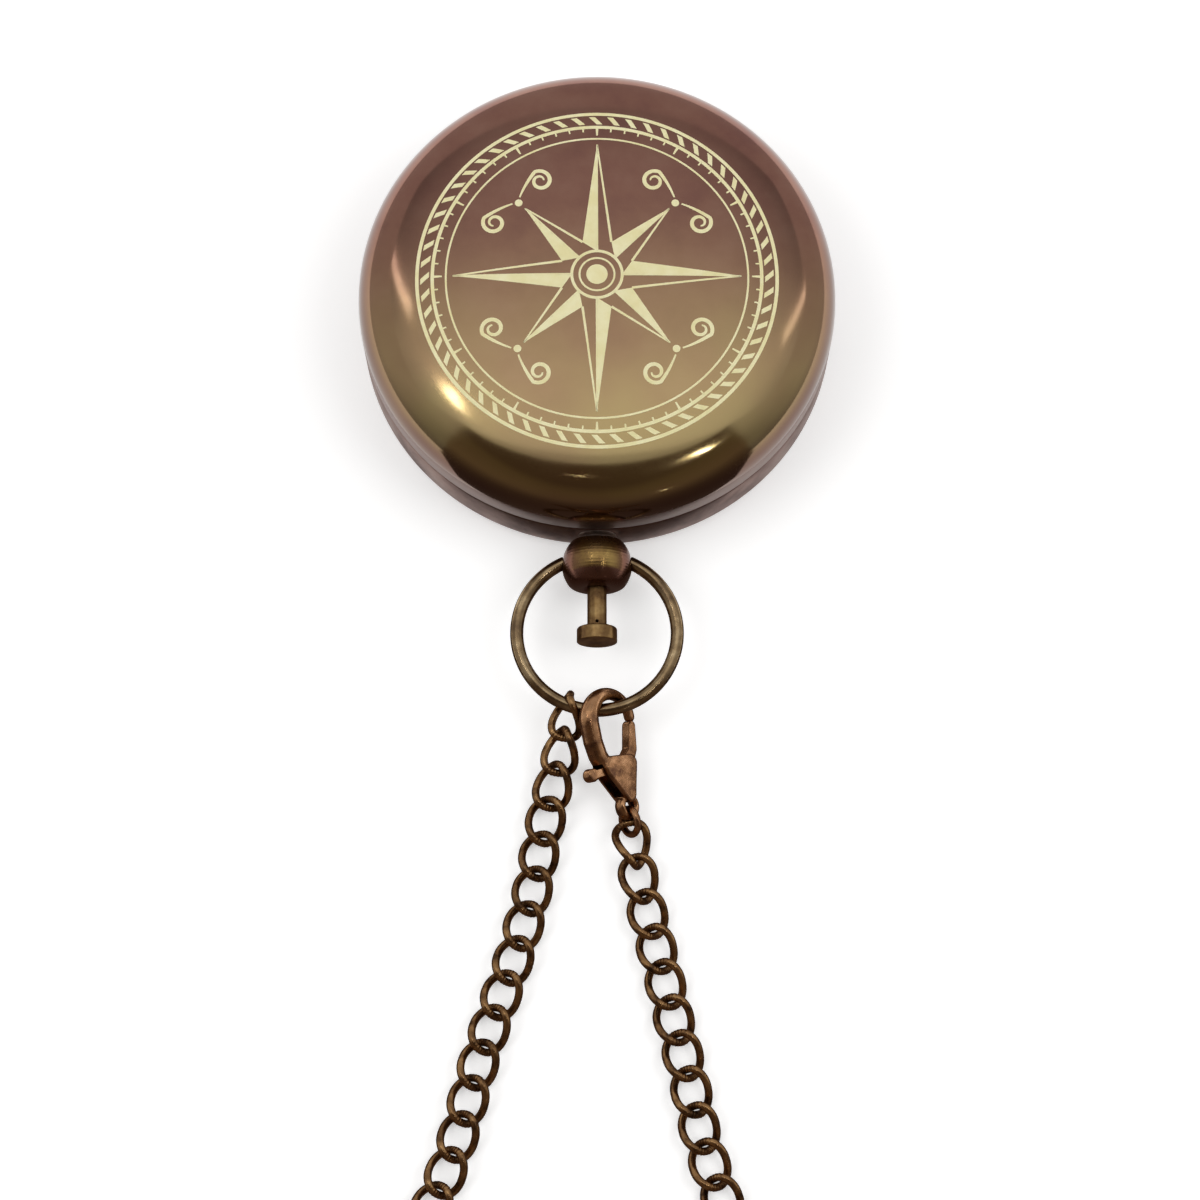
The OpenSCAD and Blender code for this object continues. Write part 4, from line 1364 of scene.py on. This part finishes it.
class Melter:
    """Melts overlapping solids into one soft-edged casting by voxels."""

    def __init__(self, name: str, voxel: float, rounds: int, place: Matrix) -> None:
        """Starts an empty casting.

        Args:
            name: Its name.
            voxel: The voxel's size in millimetres.
            rounds: How many times its skin is smoothed.
            place: Its placing in millimetres.
        """
        self.name, self.voxel, self.rounds, self.place = name, voxel, rounds, place
        self.solid = Mesher()

    def slab(self, spots: list[tuple[float, float, float]], thick: float, ease: float = 0.3) -> None:
        """Adds the flat hull of round spots, with eased edges.

        Args:
            spots: Two coordinates and a radius of each.
            thick: The slab's thickness.
            ease: How much its edges are rounded.
        """
        points = []
        for x, y, r in spots:
            for k in range(32):
                points.append((x + r * math.cos(math.pi * k / 16), y + r * math.sin(math.pi * k / 16)))
        ring = convex(points)
        middle = Vector((sum(p[0] for p in ring) / len(ring), sum(p[1] for p in ring) / len(ring), 0))
        rows = []
        for k in range(9):
            a = math.pi / 2 * k / 4 - math.pi / 2
            high = thick / 2 - ease
            z = (high if k > 4 else -high) + ease * math.sin(a)
            inward = ease * (1 - math.cos(a))
            row = []
            for x, y in ring:
                p = Vector((x, y, 0))
                p += (middle - p).normalized() * inward
                row.append(Vector((p.x, p.y, z)))
            rows.append(row)
        self.solid.grid(rows, False, True)
        self.solid.cap(rows[0])
        self.solid.cap(rows[-1])

    def ball(self, centre: Vector, radius: float) -> None:
        """Adds a ball.

        Args:
            centre: Its centre.
            radius: Its radius.
        """
        rows = []
        for i in range(13):
            a = math.pi * i / 12 - math.pi / 2
            r = radius * math.cos(a)
            z = centre.z + radius * math.sin(a)
            rows.append([Vector((centre.x, centre.y, z))] if i in (0, 12) else [
                Vector((centre.x + r * math.cos(b), centre.y + r * math.sin(b), z))
                for b in (2 * math.pi * k / 24 for k in range(24))])
        self.solid.grid(rows, False, True)

    def barrel(self, centre: tuple[float, float], radius: float, half_wall: float, half_long: float) -> None:
        """Adds a short barrel with a hole, its axis along Z.

        Args:
            centre: Its two coordinates.
            radius: Its radius to the middle of its wall.
            half_wall: Half its wall.
            half_long: Half its length.
        """
        rows = []
        for k in range(24):
            a = 2 * math.pi * k / 24
            r, z = radius + half_wall * math.cos(a), half_long * math.sin(a)
            rows.append([Vector((centre[0] + r * math.cos(b), centre[1] + r * math.sin(b), z))
                         for b in (2 * math.pi * j / 48 for j in range(48))])
        self.solid.grid(rows, True, True)

    def object(self) -> bpy.types.Object:
        """Melts and smooths the casting.

        Returns:
            The casting.
        """
        piece = self.solid.object(self.name, 180, self.place)
        melt = piece.modifiers.new("melt", "REMESH")
        melt.mode = "VOXEL"
        melt.voxel_size = self.voxel * MM
        melt.use_smooth_shade = True
        soft = piece.modifiers.new("soft", "SMOOTH")
        soft.factor = 0.5
        soft.iterations = self.rounds
        apply_modifiers(piece, 180)
        return piece


def convex(points: Outline) -> Outline:
    """Finds the convex outline round points.

    Args:
        points: The points.

    Returns:
        The outline, anticlockwise.
    """
    ordered = sorted(set(points))

    def half(run: Outline) -> Outline:
        """Finds one side of the outline.

        Args:
            run: The points in the order that the side passes them.

        Returns:
            The side.
        """
        out: Outline = []
        for p in run:
            while len(out) > 1 and ((out[-1][0] - out[-2][0]) * (p[1] - out[-2][1])
                                    - (out[-1][1] - out[-2][1]) * (p[0] - out[-2][0])) <= 0:
                out.pop()
            out.append(p)
        return out

    return half(ordered)[:-1] + half(ordered[::-1])[:-1]


@dataclass
class Instrument:
    """The compass inside: capsule, card, crystal, needle and the two springs."""

    card_z: float = 2.3
    needle_z: float = 4.2

    def build(self) -> None:
        """Dresses the inner nodes and prints the card."""
        brass = BEZEL_BRASS.material()
        steel = SPRING_STEEL.material()
        for name in ("capsule_cup", "bezel_ring", "needle_cap"):
            dress_node(name, brass)
        for name in ("catch_spring", "catch_spring_screw", "lift_spring", "lift_spring_screw",
                     "stem_circlip", "pivot_post"):
            dress_node(name, steel)
        dress_node("needle", NEEDLE_BLUE.material())
        dress_node("dial_plate", CARD_CREAM.material())
        dress_node("crystal", self.glass())
        self.print_card()
        self.needle_tip()

    @staticmethod
    def glass() -> bpy.types.Material:
        """Builds the crystal: clear mineral glass, which shows only its gloss and rim.

        Returns:
            The material.
        """
        made = bpy.data.materials.new("mineral_glass_crystal")
        made.use_nodes = True
        tree = made.node_tree
        tree.nodes.clear()
        place = add_node(tree, "ShaderNodeTexCoord", {}).outputs["Object"]
        dust = add_node(tree, "ShaderNodeTexNoise", {"Vector": place, "Scale": per_mm(5.0), "Detail": 4.0})
        haze = add_node(tree, "ShaderNodeMapRange", {
            "Value": dust.outputs["Fac"], "From Min": 0.3, "From Max": 0.8, "To Min": 0.01, "To Max": 0.06,
        })
        shader = add_node(tree, "ShaderNodeBsdfPrincipled", {
            "Base Color": linear("#F6FAF9"), "Roughness": haze.outputs["Result"], "IOR": 1.5,
            "Transmission Weight": 1.0,
        })
        add_node(tree, "ShaderNodeOutputMaterial", {"Surface": shader.outputs["BSDF"]})
        return made

    def print_card(self) -> None:
        """Prints degree ticks, plain numbers and a small rose on the card."""
        ink = Inlay(lambda x, y: self.card_z, proud=0.03, sunk=0.02)
        for radius, width in ((17.4, 0.14), (16.0, 0.1), (11.2, 0.1)):
            ink.circle(radius, width)
        for i in range(180):
            deep = 1.3 if i % 15 == 0 else 0.9 if i % 5 == 0 else 0.5
            ink.stroke([polar(17.4, 2 * i), polar(17.4 - deep, 2 * i)], [0.2 if i % 15 == 0 else 0.08] * 2)
        for k in range(8):
            a = 45 * k
            main = k % 2 == 0
            tip = polar(10.6 if main else 7.4, a)
            hub = polar(1.7, a)
            foot = [polar(2.3, a + side * 22.5) for side in (-1, 1)]
            ink.blade(hub, foot[1], tip)
            ink.straight(foot[0], tip, 0.1, 0.08)
        finish_piece(ink.made.object("dial_print", 40), PRINT_BLACK.material(), "case", "card")
        self.print_numbers()

    def print_numbers(self) -> None:
        """Prints the plain numbers of the degree ring, every thirty degrees."""
        made = Mesher()
        for k in range(12):
            degrees = 30 * k
            words = bpy.data.curves.new("number", "FONT")
            words.body = str(degrees)
            words.size = 2.0
            words.extrude = 0.02
            words.align_x = "CENTER"
            words.align_y = "CENTER"
            holder = bpy.data.objects.new("number", words)
            bpy.context.scene.collection.objects.link(holder)
            bpy.context.view_layer.update()
            graph = bpy.context.evaluated_depsgraph_get()
            mesh = bpy.data.meshes.new_from_object(holder.evaluated_get(graph))
            turn = Matrix.Rotation(math.radians(-degrees), 4, "Z")
            lift = Matrix.Translation((0, 13.6, self.card_z + 0.01))
            start = len(made.points)
            made.points.extend(turn @ lift @ v.co for v in mesh.vertices)
            made.faces.extend(tuple(start + i for i in p.vertices) for p in mesh.polygons)
            bpy.data.objects.remove(holder)
        finish_piece(made.object("dial_numbers", 40), PRINT_BLACK.material(), "case", "card")

    def needle_tip(self) -> None:
        """Lays red enamel on the north half of the needle."""
        red = Inlay(lambda x, y: self.needle_z, proud=0.03, sunk=0.01)
        red.blade(Vector((-1.0, 5.2, 0)), Vector((1.0, 5.2, 0)), Vector((0, 15.3, 0)))
        finish_piece(red.made.object("needle_enamel", 40), PRINT_RED.material(), "needle", "steel")


@dataclass
class Studio:
    """The camera, the pale table, the lamps, and the dark cloth that the metal mirrors."""

    camera_at: Point = (0.0, -0.11722, 0.28315)
    elevation: float = 72.97
    focal_px: float = 2824.0
    picture_px: float = 1200.0
    axis_px: float = 597.0
    sensor: float = 36.0
    # How much the table is lifted to white where it is seen or mirrored
    table_lift: float = 0.4
    lamp_height: float = 0.6
    # The softbox in millimetres: its half width, its front and back edge, and its height
    softbox_half: float = 420.0
    softbox_front: float = -5.0
    softbox_back: float = 620.0
    softbox_height: float = 600.0
    # The cloth's rows in millimetres: half width, Y and Z of the edges, Y and Z of the middle
    cloth_rows: tuple[tuple[float, float, float, float, float], ...] = (
        (160, -8, 450, -40, 450), (160, -42, 343, -300, 400), (160, -77, 237, -420, 300),
        (160, -99, 143, -440, 200), (160, -113, 61, -440, 80), (160, -113, -0.01, -440, -0.01),
        (90, -67, -0.01, -200, -0.01), (22, -26, -0.01, -26, -0.01),
    )
    cloth_steps: int = 16

    def camera(self) -> None:
        """Places the camera as the photograph has it."""
        data = bpy.data.cameras.new("photo_camera")
        data.sensor_width = self.sensor
        data.lens = self.focal_px / self.picture_px * self.sensor
        data.shift_x = (self.picture_px / 2 - self.axis_px) / self.picture_px
        data.clip_start, data.clip_end = 0.01, 20
        made = bpy.data.objects.new("photo_camera", data)
        made.location = self.camera_at
        made.rotation_euler = (math.radians(90 - self.elevation), 0, 0)
        bpy.context.scene.collection.objects.link(made)
        bpy.context.scene.camera = made

    def light(self) -> None:
        """Builds the table, the world and the lamps."""
        bpy.context.scene.view_settings.view_transform = "Standard"
        self.table()
        self.world()
        self.softbox()
        far = self.lamp_height
        # Small bright lamps that only the metal mirrors, for the streak and the sparks on the lid
        self.lamp("left_streak", (-0.184, 0.066, far), 0.034, 0.064, 10.0, lit=False, turn=-42.6)
        self.lamp("right_spark", (0.115, -0.071, 0.312), 0.011, 0.035, 18.0, lit=False)
        self.lamp("front_spark", (-0.018, -0.092, 0.305), 0.004, 0.003, 14.0, lit=False)
        self.lamp("low_spark", (0.102, -0.236, 0.101), 0.004, 0.004, 14.0, lit=False)
        self.lamp("left_strip", self.direction(-23.0, -20.0, far), 0.03, 0.34, 1.8)
        self.lamp("right_bulb", self.direction(19.0, 10.0, far), 0.03, 0.03, 8.0)
        self.lamp("right_strip", self.direction(25.0, -16.0, far), 0.03, 0.34, 1.5)
        for side in (-1, 1):
            self.lamp(f"fill_{side + 1}", (side * 0.5, -0.1, far), 0.5, 0.5, 2.2, mirrored=False)
        self.panel()

    @staticmethod
    def direction(lateral: float, front: float, far: float) -> Point:
        """Gives the place at a height, for angles from the zenith to the right and to the front."""
        return (far * math.tan(math.radians(lateral)), -far * math.tan(math.radians(front)), far)

    @staticmethod
    def lamp(name: str, at: Point, wide: float, tall: float, bright: float,
             mirrored: bool = True, lit: bool = True, turn: float = 0.0) -> None:
        """Adds a soft lamp of even brightness that faces the case.

        Args:
            name: Its name.
            at: Its place.
            wide: Its width.
            tall: Its height.
            bright: What a mirror shows of it, where 1 is white.
            mirrored: Whether the metal mirrors it.
            lit: Whether it lights the table and the other dull things.
            turn: How far it is turned about its own axis, in degrees.
        """
        data = bpy.data.lights.new(name, "AREA")
        data.shape = "RECTANGLE"
        data.size, data.size_y = wide, tall
        data.energy = bright * math.pi * wide * tall
        made = bpy.data.objects.new(name, data)
        made.location = at
        facing = Vector(at).to_track_quat("Z", "Y") @ Quaternion((0, 0, 1), math.radians(turn))
        made.rotation_euler = facing.to_euler()
        made.visible_camera = False
        made.visible_glossy = mirrored
        made.visible_diffuse = lit
        bpy.context.scene.collection.objects.link(made)

    def softbox(self) -> None:
        """Hangs the broad softbox behind the zenith, brightest at its front edge."""
        made = Mesher()
        made.grid([[Vector((side * self.softbox_half, y, self.softbox_height)) for side in (-1, 1)]
                   for y in (self.softbox_front, self.softbox_back)], False, False)
        box = made.object("softbox")
        finish = bpy.data.materials.new("softbox_cloth")
        finish.use_nodes = True
        tree = finish.node_tree
        tree.nodes.clear()
        place = add_node(tree, "ShaderNodeTexCoord", {}).outputs["Object"]
        parts = add_node(tree, "ShaderNodeSeparateXYZ", {"Vector": place})
        depth = add_node(tree, "ShaderNodeMapRange", {
            "Value": parts.outputs["Y"], "From Min": self.softbox_front * MM,
            "From Max": self.softbox_back * MM, "To Min": 0.0, "To Max": 1.0,
        })
        back = add_node(tree, "ShaderNodeValToRGB", {"Fac": depth.outputs["Result"]})
        set_stops(back, [(0.0, (0.85, 0.85, 0.85, 1)), (0.22, (1.0, 1.0, 1.0, 1)),
                         (0.5, (0.62, 0.62, 0.62, 1)), (1.0, (0.4, 0.4, 0.4, 1))])
        aside = add_node(tree, "ShaderNodeMath", {0: parts.outputs["X"]}, operation="ABSOLUTE")
        fade = add_node(tree, "ShaderNodeMapRange", {
            "Value": aside.outputs["Value"], "From Min": 0.05, "From Max": 0.4, "To Min": 1.0, "To Max": 0.6,
        }, interpolation_type="SMOOTHSTEP")
        glow = add_node(tree, "ShaderNodeEmission", {
            "Color": back.outputs["Color"], "Strength": fade.outputs["Result"],
        })
        add_node(tree, "ShaderNodeOutputMaterial", {"Surface": glow.outputs["Emission"]})
        box.data.materials.append(finish)
        box.visible_camera = box.visible_shadow = False

    def panel(self) -> None:
        """Hangs a dark cloth round the camera, from overhead down to the table, which only mirrors see."""
        made = Mesher()
        rows = []
        for half, edge_y, edge_z, middle_y, middle_z in self.cloth_rows:
            row = []
            for k in range(self.cloth_steps + 1):
                a = math.pi * (k / self.cloth_steps - 0.5)
                share = math.cos(a)
                row.append(Vector((half * math.sin(a), edge_y + (middle_y - edge_y) * share,
                                   edge_z + (middle_z - edge_z) * share)))
            rows.append(row)
        made.grid(rows, False, False)
        panel = made.object("dark_cloth")
        finish = bpy.data.materials.new("dark_brown_cloth")
        finish.use_nodes = True
        tree = finish.node_tree
        tree.nodes.clear()
        place = add_node(tree, "ShaderNodeTexCoord", {}).outputs["Object"]
        parts = add_node(tree, "ShaderNodeSeparateXYZ", {"Vector": place})
        tone = add_node(tree, "ShaderNodeMapRange", {
            "Value": parts.outputs["Z"], "From Min": 0.0, "From Max": self.cloth_rows[0][2] * MM,
            "To Min": 0.0, "To Max": 1.0,
        })
        shade = add_node(tree, "ShaderNodeValToRGB", {"Fac": tone.outputs["Result"]})
        set_stops(shade, [(0.0, (0.1, 0.07, 0.055, 1)), (0.22, (0.15, 0.11, 0.085, 1)),
                          (0.67, (0.12, 0.09, 0.06, 1)), (0.89, (0.08, 0.055, 0.04, 1))])
        glow = add_node(tree, "ShaderNodeEmission", {"Color": shade.outputs["Color"], "Strength": 1.0})
        add_node(tree, "ShaderNodeOutputMaterial", {"Surface": glow.outputs["Emission"]})
        panel.data.materials.append(finish)
        panel.visible_camera = panel.visible_diffuse = panel.visible_shadow = False

    def table(self) -> None:
        """Builds the pale table top, white card that keeps the shadow."""
        made = Mesher()
        made.grid([[Vector((x, y, -0.02)) for x in (-3000, 3000)] for y in (-3000, 3000)], False, False)
        top = made.object("table_top")
        card = bpy.data.materials.new("white_table_card")
        card.use_nodes = True
        tree = card.node_tree
        tree.nodes.clear()
        paper = add_node(tree, "ShaderNodeBsdfDiffuse", {"Color": (0.9, 0.9, 0.9, 1.0)})
        path = add_node(tree, "ShaderNodeLightPath", {})
        seen = add_node(tree, "ShaderNodeMath", {
            0: path.outputs["Is Camera Ray"], 1: path.outputs["Is Glossy Ray"],
        }, operation="MAXIMUM")
        through = add_node(tree, "ShaderNodeMath", {
            0: seen.outputs["Value"], 1: path.outputs["Is Transmission Ray"],
        }, operation="MAXIMUM")
        lift = add_node(tree, "ShaderNodeMath", {0: through.outputs["Value"], 1: self.table_lift},
                        operation="MULTIPLY")
        glow = add_node(tree, "ShaderNodeEmission", {
            "Color": (1.0, 1.0, 1.0, 1.0), "Strength": lift.outputs["Value"],
        })
        both = add_node(tree, "ShaderNodeAddShader", {0: paper.outputs["BSDF"], 1: glow.outputs["Emission"]})
        add_node(tree, "ShaderNodeOutputMaterial", {"Surface": both.outputs["Shader"]})
        top.data.materials.append(card)

    @staticmethod
    def world() -> None:
        """Lights the room from all round."""
        world = bpy.data.worlds.new("plain_room")
        world.use_nodes = True
        bpy.context.scene.world = world
        tree = world.node_tree
        tree.nodes.clear()
        place = add_node(tree, "ShaderNodeTexCoord", {}).outputs["Generated"]
        parts = add_node(tree, "ShaderNodeSeparateXYZ", {"Vector": place})
        # The room is dim in front, where the camera stands, and pale at the sides and behind
        turned = add_node(tree, "ShaderNodeMapRange", {
            "Value": parts.outputs["Y"], "From Min": -1.0, "From Max": 1.0, "To Min": 0.0, "To Max": 1.0,
        })
        ramp = add_node(tree, "ShaderNodeValToRGB", {"Fac": turned.outputs["Result"]})
        set_stops(ramp, [(0.05, (0.2, 0.19, 0.18, 1)), (0.3, (0.26, 0.25, 0.24, 1)),
                         (0.5, (0.5, 0.49, 0.48, 1)), (1.0, (0.52, 0.5, 0.5, 1))])
        back = add_node(tree, "ShaderNodeBackground", {"Color": ramp.outputs["Color"], "Strength": 1.0})
        add_node(tree, "ShaderNodeOutputWorld", {"Surface": back.outputs["Background"]})


def main() -> None:
    """Builds the scene: the camera and the chain first, then the rest from the case outwards."""
    logging.basicConfig(level=logging.INFO, format="%(message)s")
    studio = Studio()
    studio.camera()
    Chain().build()
    Case().build()
    Pendant().build()
    Bow().build()
    Clasp().build()
    Instrument().build()
    studio.light()
    bpy.context.view_layer.update()
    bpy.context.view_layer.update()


if __name__ == "__main__":
    main()
